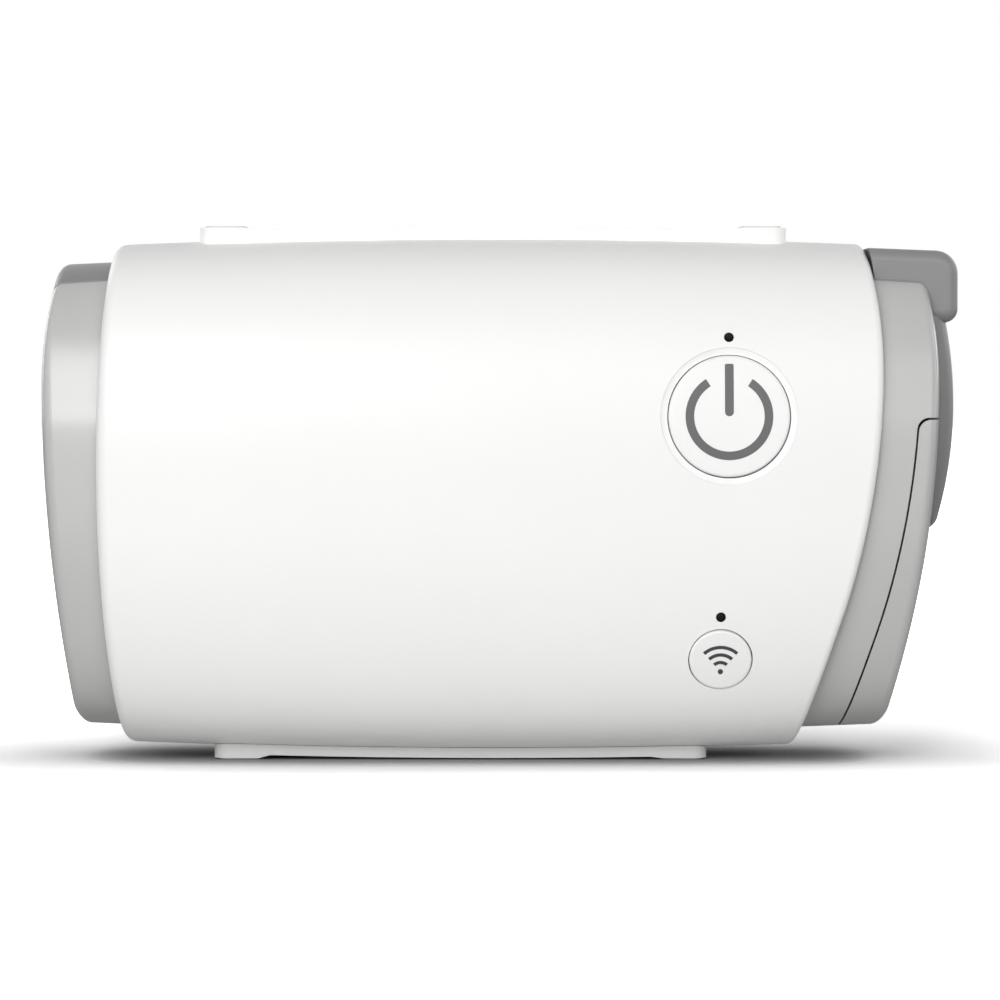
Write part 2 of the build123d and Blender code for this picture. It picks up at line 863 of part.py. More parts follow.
def port_mouth():
    """Station of the port's mouth, just under the boss's crown."""
    r = outlet_port_radius()
    return right_end_x + boss_overhang - (boss_radius - sqrt(boss_radius**2 - r**2)) + outlet_proud


def port_flange_x():
    return right_end_x - frame_wall - outlet_flange_gap


def seal_back():
    return port_mouth() - outlet_bore_depth - seal_set_back - seal_thickness


def port_back():
    return seal_back() - outlet_shoulder


def outlet_port():
    mouth = port_mouth()
    body = rod_x(outlet_port_radius(), port_back(), mouth, axis_y, outlet_z)
    flange_back = port_flange_x() - outlet_flange_thickness
    body += rod_x(outlet_flange_radius, flange_back, port_flange_x(), axis_y, outlet_z)
    body -= rod_x(outlet_bore_radius, mouth - outlet_bore_depth, far, axis_y, outlet_z)
    body -= rod_x(seal_groove_radius, seal_back(), mouth - outlet_bore_depth, axis_y, outlet_z)
    body -= rod_x(outlet_throat_radius, port_back() - 1, far, axis_y, outlet_z)
    rim = [e for e in body.edges() if e.geom_type == GeomType.CIRCLE and abs(e.center().X - mouth) < 1e-3]
    return body.fillet(outlet_mouth_round, rim)


def outlet_seal():
    """Face seal in an undercut groove, for the end of the air tube."""
    start = seal_back()
    ring = rod_x(seal_groove_radius, start, start + seal_thickness, axis_y, outlet_z)
    return ring - rod_x(outlet_throat_radius, start - 1, far, axis_y, outlet_z)


def jack_back():
    return hump_end_x - jack_socket_depth - jack_recess - jack_floor


def power_jack():
    mouth = hump_end_x - jack_recess
    body = rod_x(jack_body_radius, jack_back(), mouth, axis_y, jack_z)
    body -= rod_x(jack_socket_radius, mouth - jack_socket_depth, far, axis_y, jack_z)
    return body - rod_x(jack_pin_radius, jack_back() - 1, far, axis_y, jack_z)


def jack_pin():
    end = hump_end_x - jack_recess - jack_pin_set_back
    pin = rod_x(jack_pin_radius, jack_back(), end, axis_y, jack_z)
    tip = [e for e in pin.edges() if abs(e.center().X - end) < 1e-3]
    return pin.fillet(jack_pin_round, tip)


# ---- Rails and feet ----

def rail(side, left, length, strip, total):
    """A strip that follows the housing's crown, with raised ends; side 1 is the top."""
    right = left + length
    level = housing_half_height + total

    def crown(x):
        return half_height(x, 0) + strip

    def place(x, rise):
        return outline_point(x, axis_z + side * rise)

    step = level - pad_thickness / 2
    pad_l = left + rail_pad_length
    pad_r = right - rail_pad_length
    strip_l = place(pad_l + rail_pad_slope, crown(pad_l + rail_pad_slope))
    strip_r = place(pad_r - rail_pad_slope, crown(pad_r - rail_pad_slope))
    centre = (left + right) / 2
    base = half_height(left, 0) - rail_root
    edges = [
        Line(place(left, base), place(left, step)),
        Line(place(left, step), place(pad_l, step)),
        Line(place(pad_l, step), strip_l),
        ThreePointArc(strip_l, place(centre, crown(centre)), strip_r),
        Line(strip_r, place(pad_r, step)),
        Line(place(pad_r, step), place(right, step)),
        Line(place(right, step), place(right, base)),
        Line(place(right, base), place(left, base)),
    ]
    body = Pos(0, axis_y, 0) * extrude(make_face(edges), rail_width / 2, both=True)
    body = body.fillet(rail_end_radius, upright(body, left, right))
    body -= barrel(0.0)
    return body - rail_pads(side, left, length, total)


def upright(body, left, right):
    """Vertical corner edges at the two ends of a bar along X."""
    found = []
    for edge in body.edges():
        straight = abs((edge @ 0).X - (edge @ 1).X) < 1e-6 and abs((edge @ 0).Y - (edge @ 1).Y) < 1e-6
        if straight and min(abs(edge.center().X - left), abs(edge.center().X - right)) < 1e-3:
            found.append(edge)
    return found


def rail_pads(side, left, length, total):
    """Soft pads let into the raised ends."""
    level = axis_z + side * (housing_half_height + total)
    inner = level - side * pad_thickness
    low, high = min(level, inner), max(level, inner)
    half = rail_width / 2 - pad_margin
    pads = []
    for start in (left + pad_margin, left + length - rail_pad_length):
        end = start + rail_pad_length - pad_margin
        pad = block((start, end), (axis_y - half, axis_y + half), (low, high))
        pads.append(pad.fillet(pad_corner, upright(pad, start, end)))
    return pads[0] + pads[1]


def rear_feet():
    top = axis_y + housing_half_depth + rear_stand_off
    feet = []
    for x, z in foot_places():
        foot = rod(foot_radius, 0, top, x, z)
        rim = [e for e in foot.edges() if abs(e.center().Y - top) < 1e-3]
        recess_end = screw_seat(x, z) + screw_head_height + fit_gap / 2
        recess = rod(screw_head_radius + fit_gap, 0, recess_end, x, z)
        feet.append(foot.fillet(foot_round, rim) - barrel(0.0) - recess)
    return Part() + feet


def cover_screws():
    screws = []
    for x, z in foot_places():
        seat = screw_seat(x, z)
        head = rod(screw_head_radius, seat, seat + screw_head_height, x, z)
        head -= rod(screw_drive_radius, seat + screw_head_height - screw_drive_depth, reach, x, z)
        shank = rod(screw_radius, seat + screw_head_height - screw_length, seat, x, z)
        screws.append(head + shank)
    return Part() + screws


# ---- Buttons, lenses and board ----

def button(x, z, radius, proud):
    """A cap flush with the curved housing, with a lip behind the wall."""
    lip_front = housing_wall + button_back_gap
    back = lip_front + button_flange
    body = button_bar(x, z, radius) & (barrel(-proud) - barrel(back))
    rim = [e for e in body.edges() if lies_on_barrel(e @ 0.5, -proud)]
    body = body.fillet(button_edge_round, rim)
    lip = button_bar(x, z, radius + button_flange_lip) & (barrel(lip_front) - barrel(back))
    for lens_x, lens_z in lens_places():
        lip -= rod(lens_radius + lens_clearance, -reach, 0, lens_x, lens_z)
    return body + lip


def start_button():
    body = button(start_x, start_z, start_radius, button_proud)
    stem_depth = housing_wall + button_back_gap + button_flange + start_stem_reach
    stem = Cylinder(start_stem_radius, start_stem_height, align=(Align.CENTER, Align.CENTER, Align.MIN))
    return body + button_frame(start_x, start_z) * Pos(0, 0, -stem_depth) * stem


def pairing_button():
    return button(pairing_x, pairing_z, pairing_radius, pairing_proud)


def led_lenses():
    lenses = []
    for x, z in lens_places():
        tip_y = axis_y - surface_depth(x, abs(z - axis_z)) - lens_proud
        pipe = rod(lens_radius, tip_y, board_front - lens_foot_gap, x, z)
        tip = [e for e in pipe.edges() if abs(e.center().Y - tip_y) < 1e-3]
        lenses.append(pipe.fillet(lens_round, tip))
    return Part() + lenses


def main_board():
    z = (axis_z - board_half_height, axis_z + board_half_height)
    body = block((board_left, board_right), (board_front, board_back), z)
    corners = [e for e in body.edges() if abs((e @ 0).Y - (e @ 1).Y) > 1.0]
    body = body.fillet(board_corner, corners)
    for x, place_z in board_boss_places():
        body -= rod(board_screw_radius + fit_gap, -reach, 0, x, place_z)
    return body


def board_screws():
    screws = []
    for x, z in board_boss_places():
        top = board_back + board_screw_head_height
        head = rod(board_screw_head_radius, board_back, top, x, z)
        head -= rod(board_drive_radius, top - board_drive_depth, 0, x, z)
        end = front_y + housing_wall + board_pilot_floor + board_screw_end_gap
        screws.append(head + rod(board_screw_radius, end, board_back, x, z))
    return Part() + screws


def chip(x, z, width, height, thick):
    """A component on the rear of the board, its edges eased."""
    body = block(
        (x - width / 2, x + width / 2), (board_back, board_back + thick), (z - height / 2, z + height / 2)
    )
    return body.fillet(chip_round, [e for e in body.edges() if e.center().Y > board_back + thick / 3])


def board_components():
    """Processor, motor driver, memory, inductors, capacitors and connectors."""
    processor = chip(-26, axis_z + 12, width=9, height=9, thick=1.2)
    motor_driver = chip(-8, axis_z + 18, width=7, height=7, thick=1.2)
    memory = chip(-26, axis_z - 6, width=5, height=6, thick=1.0)
    power_header = chip(power_lead_x(), power_lead_z(), width=6, height=4.4, thick=power_header_thickness)
    motor_header = chip(motor_lead_x(), blower_z, width=3, height=7.5, thick=motor_header_thickness)
    parts = [processor, motor_driver, memory, power_header, motor_header]
    for x in (-34, -28, -22):
        capacitor = rod(2.4, board_back, board_back + 2.6, x, axis_z - 18)
        parts.append(capacitor)
    for x, z in lens_places():
        led = block((x - 0.8, x + 0.8), (board_front - 0.6, board_front), (z - 0.4, z + 0.4))
        parts.append(led)
    return Part() + parts


def radio_module():
    """Screened radio module on the front of the board, by the left edge."""
    left, half = board_left + radio_inset, radio_height / 2
    x, z = (left, left + radio_width), (axis_z - half, axis_z + half)
    can = block(x, (board_front - radio_thickness, board_front), z)
    outer = [e for e in can.edges() if e.center().Y < board_front - radio_thickness / 4]
    return can.fillet(radio_round, outer)


def tact_switch(x, z, size, thickness):
    """Low square switch on the front of the board, its front edges eased."""
    half = size / 2
    body = block((x - half, x + half), (board_front - thickness, board_front), (z - half, z + half))
    return body.fillet(chip_round, body.edges().group_by(Axis.Y)[0])


def start_switch():
    body = tact_switch(start_x, start_z, start_switch_size, start_switch_thickness)
    tip = board_front - start_switch_thickness - plunger_reach
    return body + rod(plunger_radius, tip, board_front - start_switch_thickness / 2, start_x, start_z)


def pairing_switch():
    z = pairing_z + pairing_switch_rise
    return tact_switch(pairing_x, z, pairing_switch_size, pairing_switch_thickness)


def pressure_sensor():
    x, z = sensor_place()
    half = sensor_size / 2
    top = board_back + sensor_thickness
    body = block((x - half, x + half), (board_back, top), (z - half, z + half))
    return body + rod(nipple_radius, top, blower_front - scroll_wall - nipple_gap, x, z)


def sensor_place():
    """X and Z of the pressure tap in the scroll's exit duct."""
    return blower_x + duct_reach - sensor_size, blower_z + duct_centre_rise()


def pressure_tube():
    x, z = sensor_place()
    start = board_back + sensor_thickness
    tube = rod(tube_radius, start, blower_front - scroll_wall, x, z)
    return tube - rod(nipple_radius, start - 1, 0, x, z)


# ---- Blower ----

def scroll_end_radius():
    return impeller_radius + tongue_gap + scroll_growth


def duct_centre_rise():
    return scroll_end_radius() - duct_height / 2


def scroll(wall, start, end, duct_extra=0.0):
    """The scroll and its exit duct, as a solid between two depths, grown by wall."""
    steps = 10
    points = []
    for i in range(steps + 1):
        angle = radians(scroll_start - scroll_turn * i / steps)
        r = impeller_radius + tongue_gap + scroll_growth * i / steps + wall
        points.append((blower_x + r * cos(angle), 0, blower_z + r * sin(angle)))
    spiral = make_face([Spline(*points), Line(points[-1], points[0])])
    body = extrude(spiral, reach, both=True)
    top = blower_z + scroll_end_radius() + wall
    low = top - duct_height - 2 * wall
    body += block((blower_x, blower_x + duct_reach + duct_extra), (-reach, reach), (low, top))
    return body & block((-far, far), (start, end), (-far, far))


def ear_places():
    """Screw ears spread round the outside of the scroll."""
    places = []
    for angle in ear_angles:
        turned = (scroll_start - angle) % 360
        grown = scroll_growth * turned / scroll_turn
        r = impeller_radius + tongue_gap + grown + scroll_wall + ear_offset
        places.append((blower_x + r * cos(radians(angle)), blower_z + r * sin(radians(angle))))
    return places


def scroll_split():
    return (blower_front + blower_back) / 2


def volute_cover():
    middle = scroll_split()
    front = blower_front - scroll_wall
    body = scroll(scroll_wall, front, middle)
    for x, z in ear_places():
        body += rod(ear_radius, front, middle, x, z)
    body += rod(eye_radius + eye_lip_width, front - eye_lip_height, front, blower_x, blower_z)
    body -= scroll(0.0, blower_front, middle + 1, duct_extra=duct_overrun)
    body -= rod(eye_radius, -reach, blower_front + 1, blower_x, blower_z)
    x, z = sensor_place()
    body -= rod(nipple_radius, -reach, blower_front + 1, x, z)
    for x, z in ear_places():
        body -= rod(blower_screw_radius + fit_gap, front - 1, middle + 1, x, z)
    return largest(body)


def volute_base():
    middle = scroll_split()
    back = blower_back + scroll_wall
    body = scroll(scroll_wall, middle, back)
    for x, z in ear_places():
        body += rod(ear_radius, middle, back, x, z)
    for x, z in damper_places():
        body += rod(damper_radius, back - scroll_wall, back, x, z)
    body -= scroll(0.0, middle - 1, blower_back, duct_extra=duct_overrun)
    body -= rod(bearing_radius + shaft_gap, blower_back - 1, reach, blower_x, blower_z)
    for x, z in ear_places():
        body -= rod(blower_screw_radius, middle - 1, blower_back + scroll_wall / 2, x, z)
    return largest(body)


def blower_screws():
    front = blower_front - scroll_wall
    screws = []
    for x, z in ear_places():
        head = rod(blower_screw_head_radius, front - blower_screw_head_height, front, x, z)
        head -= rod(blower_drive_radius, -reach, front - blower_screw_head_height / 2, x, z)
        screws.append(head + rod(blower_screw_radius, front, blower_back, x, z))
    return Part() + screws


def damper_places():
    """Three rubber mounts behind the scroll, clear of the motor."""
    places = []
    for angle in damper_angles:
        r = motor_radius + damper_radius + damper_clearance
        places.append((blower_x + r * cos(radians(angle)), blower_z + r * sin(radians(angle))))
    return places


def damper_end():
    return blower_back + scroll_wall + damper_length


def blower_dampers():
    start = blower_back + scroll_wall
    dampers = []
    for x, z in damper_places():
        body = rod(damper_radius, start, damper_end(), x, z)
        middle = (start + damper_end()) / 2
        place = Plane(origin=(x, middle, z), x_dir=(1, 0, 0), z_dir=(0, 1, 0))
        waist = place * Torus(damper_radius + damper_waist_offset, damper_waist_radius)
        dampers.append(body - waist)
    return Part() + dampers


def impeller():
    """Backplate, domed hub and swept-back blades, open to the front."""
    back = blower_back - running_gap
    plate_front = back - impeller_plate
    blade_front = plate_front - blade_height
    body = rod(impeller_radius, plate_front, back, blower_x, blower_z)
    nose_y = blade_front + hub_set_back
    hub = rod(impeller_hub_radius, nose_y, plate_front, blower_x, blower_z)
    nose = [e for e in hub.edges() if abs(e.center().Y - nose_y) < 1e-3 and e.geom_type == GeomType.CIRCLE]
    body += hub.fillet(impeller_hub_radius / 2, nose)
    inner_r, outer_r = impeller_hub_radius - blade_thickness / 2, impeller_radius
    points_front, points_back = [], []
    steps = 5
    for i in range(steps + 1):
        share = i / steps
        r = inner_r + (outer_r - inner_r) * share
        angle = radians(blade_sweep * share**blade_curl)
        half = blade_thickness / 2 / r
        points_front.append((r * cos(angle + half), 0, r * sin(angle + half)))
        points_back.append((r * cos(angle - half), 0, r * sin(angle - half)))
    outline = [
        Spline(*points_front),
        Line(points_front[-1], points_back[-1]),
        Spline(*reversed(points_back)),
        Line(points_back[0], points_front[0]),
    ]
    profile = extrude(make_face(outline), reach, both=True)
    profile &= block((-far, far), (blade_front, plate_front + wall_overlap), (-far, far))
    root, end = inner_r - 1, outer_r + 1
    before = blade_front - 1
    after = blade_front + blade_slope
    sloped = Polyline((root, before), (end, before), (end, after), (root, blade_front), close=True)
    profile -= revolve(Plane.XY * make_face(sloped), Axis.Y)
    for i in range(blade_count):
        blade = Rotation(0, 360 * i / blade_count, 0) * profile
        body += Pos(blower_x, 0, blower_z) * blade
    body &= rod(impeller_radius, -reach, reach, blower_x, blower_z)
    return body - rod(shaft_radius, -reach, reach, blower_x, blower_z)


def motor_front():
    return blower_back + scroll_wall


def motor_back():
    return motor_front() + motor_length


def magnet_span():
    return motor_front() + magnet_front_gap, motor_back() - motor_wall - bearing_length - magnet_back_gap


def motor_shaft():
    start = blower_back - running_gap - impeller_plate - shaft_front_reach
    shaft = rod(shaft_radius, start, motor_back() - shaft_back_gap, blower_x, blower_z)
    ends = [e for e in shaft.edges() if e.geom_type == GeomType.CIRCLE]
    return shaft.fillet(shaft_round, ends)


def motor_magnet():
    front, back = magnet_span()
    ring = rod(magnet_radius, front, back, blower_x, blower_z)
    return ring - rod(shaft_radius, front - 1, back + 1, blower_x, blower_z)


def motor_stator():
    """Laminated ring with inward teeth."""
    front, back = magnet_span()
    outer = motor_radius - motor_wall
    ring = rod(outer, front, back, blower_x, blower_z)
    ring -= rod(outer - stator_ring, front - 1, back + 1, blower_x, blower_z)
    bore = magnet_radius + air_gap
    for i in range(tooth_count):
        root = outer - stator_ring + wall_overlap
        tooth = block((bore - 1, root), (front, back), (-tooth_width / 2, tooth_width / 2))
        ring += Pos(blower_x, 0, blower_z) * Rotation(0, 360 * i / tooth_count, 0) * tooth
    return ring - rod(bore, front - 1, back + 1, blower_x, blower_z)


def motor_coils():
    """A winding round each tooth."""
    front, back = magnet_span()
    outer = motor_radius - motor_wall - stator_ring - coil_end_gap
    inner = magnet_radius + air_gap + coil_tip_gap
    slot = tooth_width / 2 + coil_play
    half = tooth_width / 2 + coil_wrap
    coils = []
    for i in range(tooth_count):
        coil = block((inner, outer), (front - coil_wrap, back + coil_wrap), (-half, half))
        coil = coil.fillet(coil_round, [e for e in coil.edges() if abs((e @ 0).X - (e @ 1).X) > 1])
        coil -= block((0, far), (front - coil_play, back + coil_play), (-slot, slot))
        coils.append(Pos(blower_x, 0, blower_z) * Rotation(0, 360 * i / tooth_count, 0) * coil)
    return Part() + coils


def bearing_starts():
    return (blower_back + bearing_front_gap, motor_back() - motor_wall - bearing_length + bearing_back_sink)


def motor_bearings():
    rings = []
    for start in bearing_starts():
        end = start + bearing_length
        ring = rod(bearing_radius, start, end, blower_x, blower_z)
        ring -= rod(shaft_radius + shaft_gap, start - 1, end + 1, blower_x, blower_z)
        face = Plane(origin=(blower_x, end, blower_z), z_dir=(0, 1, 0))
        rings.append(ring - face * Torus(bearing_groove_radius, bearing_groove_depth))
    return Part() + rings


def motor_housing():
    front, back = motor_front(), motor_back()
    body = rod(motor_radius, front, back, blower_x, blower_z)
    rim = [e for e in body.edges() if abs(e.center().Y - back) < 1e-3]
    body = body.fillet(motor_rim_round, rim)
    body -= rod(motor_radius - motor_wall, front - 1, back - motor_wall, blower_x, blower_z)
    start = bearing_starts()[1]
    body += rod(bearing_radius + bearing_boss_wall, start, back - motor_wall / 2, blower_x, blower_z)
    body -= rod(bearing_radius + shaft_gap, start - 1, start + bearing_length, blower_x, blower_z)
    body -= rod(shaft_radius + shaft_hole_gap, start, back + 1, blower_x, blower_z)
    left = blower_x - motor_radius
    y, z = motor_lead_y(), motor_lead_pitch + motor_lead_radius + lead_slot_gap
    half = motor_lead_radius + lead_slot_gap
    return body - block((left - 1, left + 2 * motor_wall), (y - half, y + half), (blower_z - z, blower_z + z))


def motor_lead_x():
    """Station where the motor's leads turn down to the board."""
    return blower_x - scroll_end_radius() - scroll_wall - motor_lead_gap


def motor_lead_y():
    return motor_front() + motor_lead_rise


def motor_leads():
    """Three leads from the motor round the scroll to the board."""
    start = blower_x - motor_radius + wall_overlap
    x, y = motor_lead_x(), motor_lead_y()
    leads = []
    for i in (-1, 0, 1):
        z = blower_z + i * motor_lead_pitch
        points = [(start, y, z), (x, y, z), (x, board_back + motor_header_thickness, z)]
        leads.append(lead(points, motor_lead_radius))
    return Part() + leads


def lead(points, radius):
    """A round lead along straight runs with rounded bends."""
    path = FilletPolyline(*points, radius=lead_bend)
    return sweep(Plane(origin=path @ 0, z_dir=path % 0) * Circle(radius), path)


def power_lead_x():
    return board_right - power_header_inset


def power_lead_z():
    return blower_z + scroll_end_radius() + scroll_wall + power_lead_gap


def power_leads():
    """Two leads from the power socket to the board."""
    leads = []
    header_end = board_back + power_header_thickness
    for side in (-1, 1):
        x, z = power_lead_x() - side * power_lead_spread, power_lead_z()
        y = axis_y + side * power_lead_half_pitch
        turn_y = header_end + power_lead_drop
        points = [(jack_back(), y, jack_z), (x, y, jack_z), (x, turn_y, z), (x, header_end, z)]
        leads.append(lead(points, power_lead_radius))
    return Part() + leads


# ---- Air path and muffling ----

def outlet_duct():
    """Soft connector from the scroll's square exit to the round port."""
    start = blower_x + duct_reach
    y = (blower_front + blower_back) / 2
    z = blower_z + duct_centre_rise()
    wide = blower_back - blower_front

    def shape(grow):
        square = RectangleRounded(wide + 2 * grow, duct_height + 2 * grow, duct_corner + grow)
        square = Plane(origin=(start, y, z), x_dir=(0, 1, 0), z_dir=(1, 0, 0)) * square
        port = Plane(origin=(port_back(), axis_y, outlet_z), x_dir=(0, 1, 0), z_dir=(1, 0, 0))
        return loft([square, port * Circle(outlet_throat_radius + grow)])

    return shape(scroll_wall) - shape(0.0)


def inlet_duct():
    """Square throat that carries air from the filter grille to the inside."""
    y = (axis_y - inlet_front, axis_y + inlet_back)
    z = (axis_z - inlet_low, axis_z - inlet_high)
    left = blower_x + impeller_radius + tongue_gap + scroll_wall + inlet_gap
    tube = block((left, far), y, z)
    tube = tube.fillet(inlet_corner, [e for e in tube.edges() if abs((e @ 0).X - (e @ 1).X) > 1])
    tube -= block((0, far), (y[0] + inlet_wall, y[1] - inlet_wall), (z[0] + inlet_wall, z[1] - inlet_wall))
    return largest(tube - right_of_rim(bulkhead_offset - bulkhead_wall))


def muffler_foam():
    """Open-cell block that fills the left half, with a channel for the air."""
    left, right = left_rim_x, motor_lead_x() - foam_gap
    body = block((left, right), (board_back + foam_front, reach), (0, 2 * axis_z))
    body &= hollow(-foam_play)
    body -= left_tuck(-panel_gap - foam_play)
    for x, z in foot_places():
        body -= rod(screw_radius + post_wall + foam_play, -reach, reach, x, z)
    channel = rod_x(foam_channel_radius, left_rim_x + foam_channel_start, far, axis_y, axis_z)
    return largest(body - channel)


# ---- Build ----

def build():
    sleeve = housing()
    skin = frame_shell()
    parts = {
        "front_cover": front_cover(sleeve),
        "rear_cover": rear_cover(sleeve),
        "chassis": chassis(skin),
        "left_end_cap": left_end_cap(skin),
        "right_end_cap": right_end_cap(skin),
        "filter_cover": filter_cover(skin),
        "air_filter": air_filter(),
        "outlet_port": outlet_port(),
        "outlet_seal": outlet_seal(),
        "power_jack": power_jack(),
        "jack_pin": jack_pin(),
        "rear_feet": rear_feet(),
        "cover_screws": cover_screws(),
        "start_button": start_button(),
        "pairing_button": pairing_button(),
        "led_lenses": led_lenses(),
        "main_board": main_board(),
        "board_screws": board_screws(),
        "board_components": board_components(),
        "radio_module": radio_module(),
        "start_switch": start_switch(),
        "pairing_switch": pairing_switch(),
        "pressure_sensor": pressure_sensor(),
        "pressure_tube": pressure_tube(),
        "volute_cover": volute_cover(),
        "volute_base": volute_base(),
        "blower_screws": blower_screws(),
        "blower_dampers": blower_dampers(),
        "impeller": impeller(),
        "motor_shaft": motor_shaft(),
        "motor_magnet": motor_magnet(),
        "motor_stator": motor_stator(),
        "motor_coils": motor_coils(),
        "motor_bearings": motor_bearings(),
        "motor_housing": motor_housing(),
        "motor_leads": motor_leads(),
        "power_leads": power_leads(),
        "outlet_duct": outlet_duct(),
        "inlet_duct": inlet_duct(),
        "muffler_foam": muffler_foam(),
    }
    rails = {
        "top_rail": (1, left_end_x + rail_left_inset, top_rail_length, top_rail_strip, top_rail_total),
        "bottom_rail": (
            -1,
            left_end_x + bottom_rail_left_inset,
            bottom_rail_length,
            bottom_rail_strip,
            ground_gap,
        ),
    }
    for name, (side, left, length, strip, total) in rails.items():
        parts[name] = rail(side, left, length, strip, total)
        parts[name + "_pads"] = rail_pads(side, left, length, total)
    return parts


def write(parts):
    for name, part in parts.items():
        solids = part.solids()
        shape = solids[0] if len(solids) == 1 else Compound(solids)
        export_step(shape, f"parts/{name}.step")


if __name__ == "__main__":
    write(build())
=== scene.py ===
"""Travel CPAP machine: moulded shells, finishes, printed symbols and a plain studio."""

import json
import math

import bmesh
import bpy
from mathutils import Matrix, Vector


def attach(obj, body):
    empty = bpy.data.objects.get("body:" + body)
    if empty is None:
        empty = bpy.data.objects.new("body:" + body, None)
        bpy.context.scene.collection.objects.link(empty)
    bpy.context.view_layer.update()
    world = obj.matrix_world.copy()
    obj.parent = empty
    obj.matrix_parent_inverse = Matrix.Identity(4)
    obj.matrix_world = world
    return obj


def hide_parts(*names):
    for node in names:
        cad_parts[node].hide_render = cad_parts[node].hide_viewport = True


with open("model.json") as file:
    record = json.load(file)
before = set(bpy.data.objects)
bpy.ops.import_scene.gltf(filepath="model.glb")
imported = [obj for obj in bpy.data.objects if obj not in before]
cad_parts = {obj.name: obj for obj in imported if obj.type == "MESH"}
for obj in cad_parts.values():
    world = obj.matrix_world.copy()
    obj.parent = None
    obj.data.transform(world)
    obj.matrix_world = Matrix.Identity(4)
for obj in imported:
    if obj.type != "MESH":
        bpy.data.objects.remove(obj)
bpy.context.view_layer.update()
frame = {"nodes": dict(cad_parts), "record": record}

MM = 0.001

# ---- Sizes in millimetres and degrees, the same as the construction's ----

AXIS_Y, AXIS_Z = -0.4, 38.9
HALF_DEPTH, HALF_HEIGHT = 25.6, 37.65
DEPTH_CROWN, HEIGHT_CROWN, CROWN_STATION = 1.2, 1.05, 52.9
SECTION_POWER = 3.0
WALL, LEFT_ROLL, RIGHT_ROLL = 2.2, 1.8, 1.05
LEFT_RIM_X, LEFT_RIM_RADIUS, LEFT_RIM_Z = -57.69, 300.0, 44.4
RIGHT_RIM_X, RIGHT_RIM_Z = 55.36, 58.0
RIGHT_RIM_UPPER, RIGHT_RIM_MAIN, RIGHT_RIM_SLANT = 80.0, 120.0, 18.0
START_X, START_Z, START_RADIUS, START_DISH, START_PROUD = 33.11, 50.4, 8.72, 9.86, 0.12
PAIRING_X, PAIRING_Z, PAIRING_RADIUS, PAIRING_PROUD = 31.96, 15.4, 4.49, 0.30
BUTTON_GAP = 0.15
LENS_RADIUS, START_LENS_RISE, PAIRING_LENS_RISE = 0.66, 11.3, 6.2

# ---- Details of the visible model alone, in millimetres and degrees ----

PARTING_HALF_GAP = 0.07
BUTTON_EDGE, BUTTON_RIM_DEPTH, BUTTON_INSIDE = 0.35, 1.2, WALL + 0.9
LENS_GAP = 0.06
HOLE_REACH, LENS_HOLE_REACH = (-6, 4), (-3, 3)
DISH_LID = 3
INK_THICK, INK_SUNK = 0.035, 0.02
RING_INNER, RING_OUTER, RING_OPENING = 5.05, 6.28, 32
BAR_LENGTH, BAR_WIDTH, BAR_CORNER = 7.5, 1.26, 0.25
WAVE_RADII, WAVE_HALF_WIDTH, WAVE_REACH = (1.35, 2.45, 3.55), 0.24, 42
WAVE_FOOT_DROP, WAVE_DOT_RADIUS = 1.7, 0.38

# ---- Mesh densities and limits ----

SECTION_POINTS, SIDE_ROWS, ROLL_ROWS, INNER_ROWS = 280, 130, 8, 24
ROUND_POINTS, HOLE_POINTS, LENS_POINTS = 128, 96, 32
CAP_RINGS, CAP_EDGE_ROWS = 26, 6
RING_STEPS, WAVE_STEPS, BAR_STEPS = 120, 24, 10
SHARP = math.radians(35)
NEARLY_ZERO = 1e-9


# ---- The barrel form ----

def half_depth(x, inset=0.0):
    """Half the section's depth at a station."""
    return HALF_DEPTH - DEPTH_CROWN * (x / CROWN_STATION) ** 2 - inset


def half_height(x, inset=0.0):
    """Half the section's height at a station."""
    return HALF_HEIGHT - HEIGHT_CROWN * (x / CROWN_STATION) ** 2 - inset


def front_depth(x, z, inset=0.0):
    """Y of the housing's front face, drawn in by inset."""
    share = max(0.0, 1 - abs((z - AXIS_Z) / half_height(x, inset)) ** SECTION_POWER)
    return AXIS_Y - half_depth(x, inset) * share ** (1 / SECTION_POWER)


def front_tilt(x, z):
    """How far the front face leans back at a height, in radians; upward is positive."""
    step = 0.05
    return math.atan2(front_depth(x, z + step) - front_depth(x, z - step), 2 * step)


def section_point(x, angle, inset):
    """A point of the section at a station, drawn in by inset."""
    c, s = math.cos(angle), math.sin(angle)
    power = 2 / SECTION_POWER
    y = z = 0.0
    if abs(c) > NEARLY_ZERO:
        y = half_depth(x, inset) * math.copysign(abs(c) ** power, c)
    if abs(s) > NEARLY_ZERO:
        z = half_height(x, inset) * math.copysign(abs(s) ** power, s)
    return Vector((x, AXIS_Y + y, AXIS_Z + z))


def even_angles(count):
    """Angles whose section points are evenly spaced, with the four extremes among them."""
    fine = 400
    angles = []
    for quadrant in range(4):
        start = quadrant * math.pi / 2
        trial = [start + math.pi / 2 * i / fine for i in range(fine + 1)]
        spots = [section_point(0, a, 0) for a in trial]
        run = [0.0]
        for a, b in zip(spots, spots[1:]):
            run.append(run[-1] + (b - a).length)
        j = 0
        for i in range(count // 4):
            want = run[-1] * i / (count // 4)
            while run[j + 1] < want:
                j += 1
            share = (want - run[j]) / (run[j + 1] - run[j])
            angles.append(trial[j] + (trial[j + 1] - trial[j]) * share)
    return angles


def left_rim(z):
    """X of the left rim at a height: one wide arc."""
    return LEFT_RIM_X + LEFT_RIM_RADIUS - math.sqrt(LEFT_RIM_RADIUS**2 - (z - LEFT_RIM_Z) ** 2)


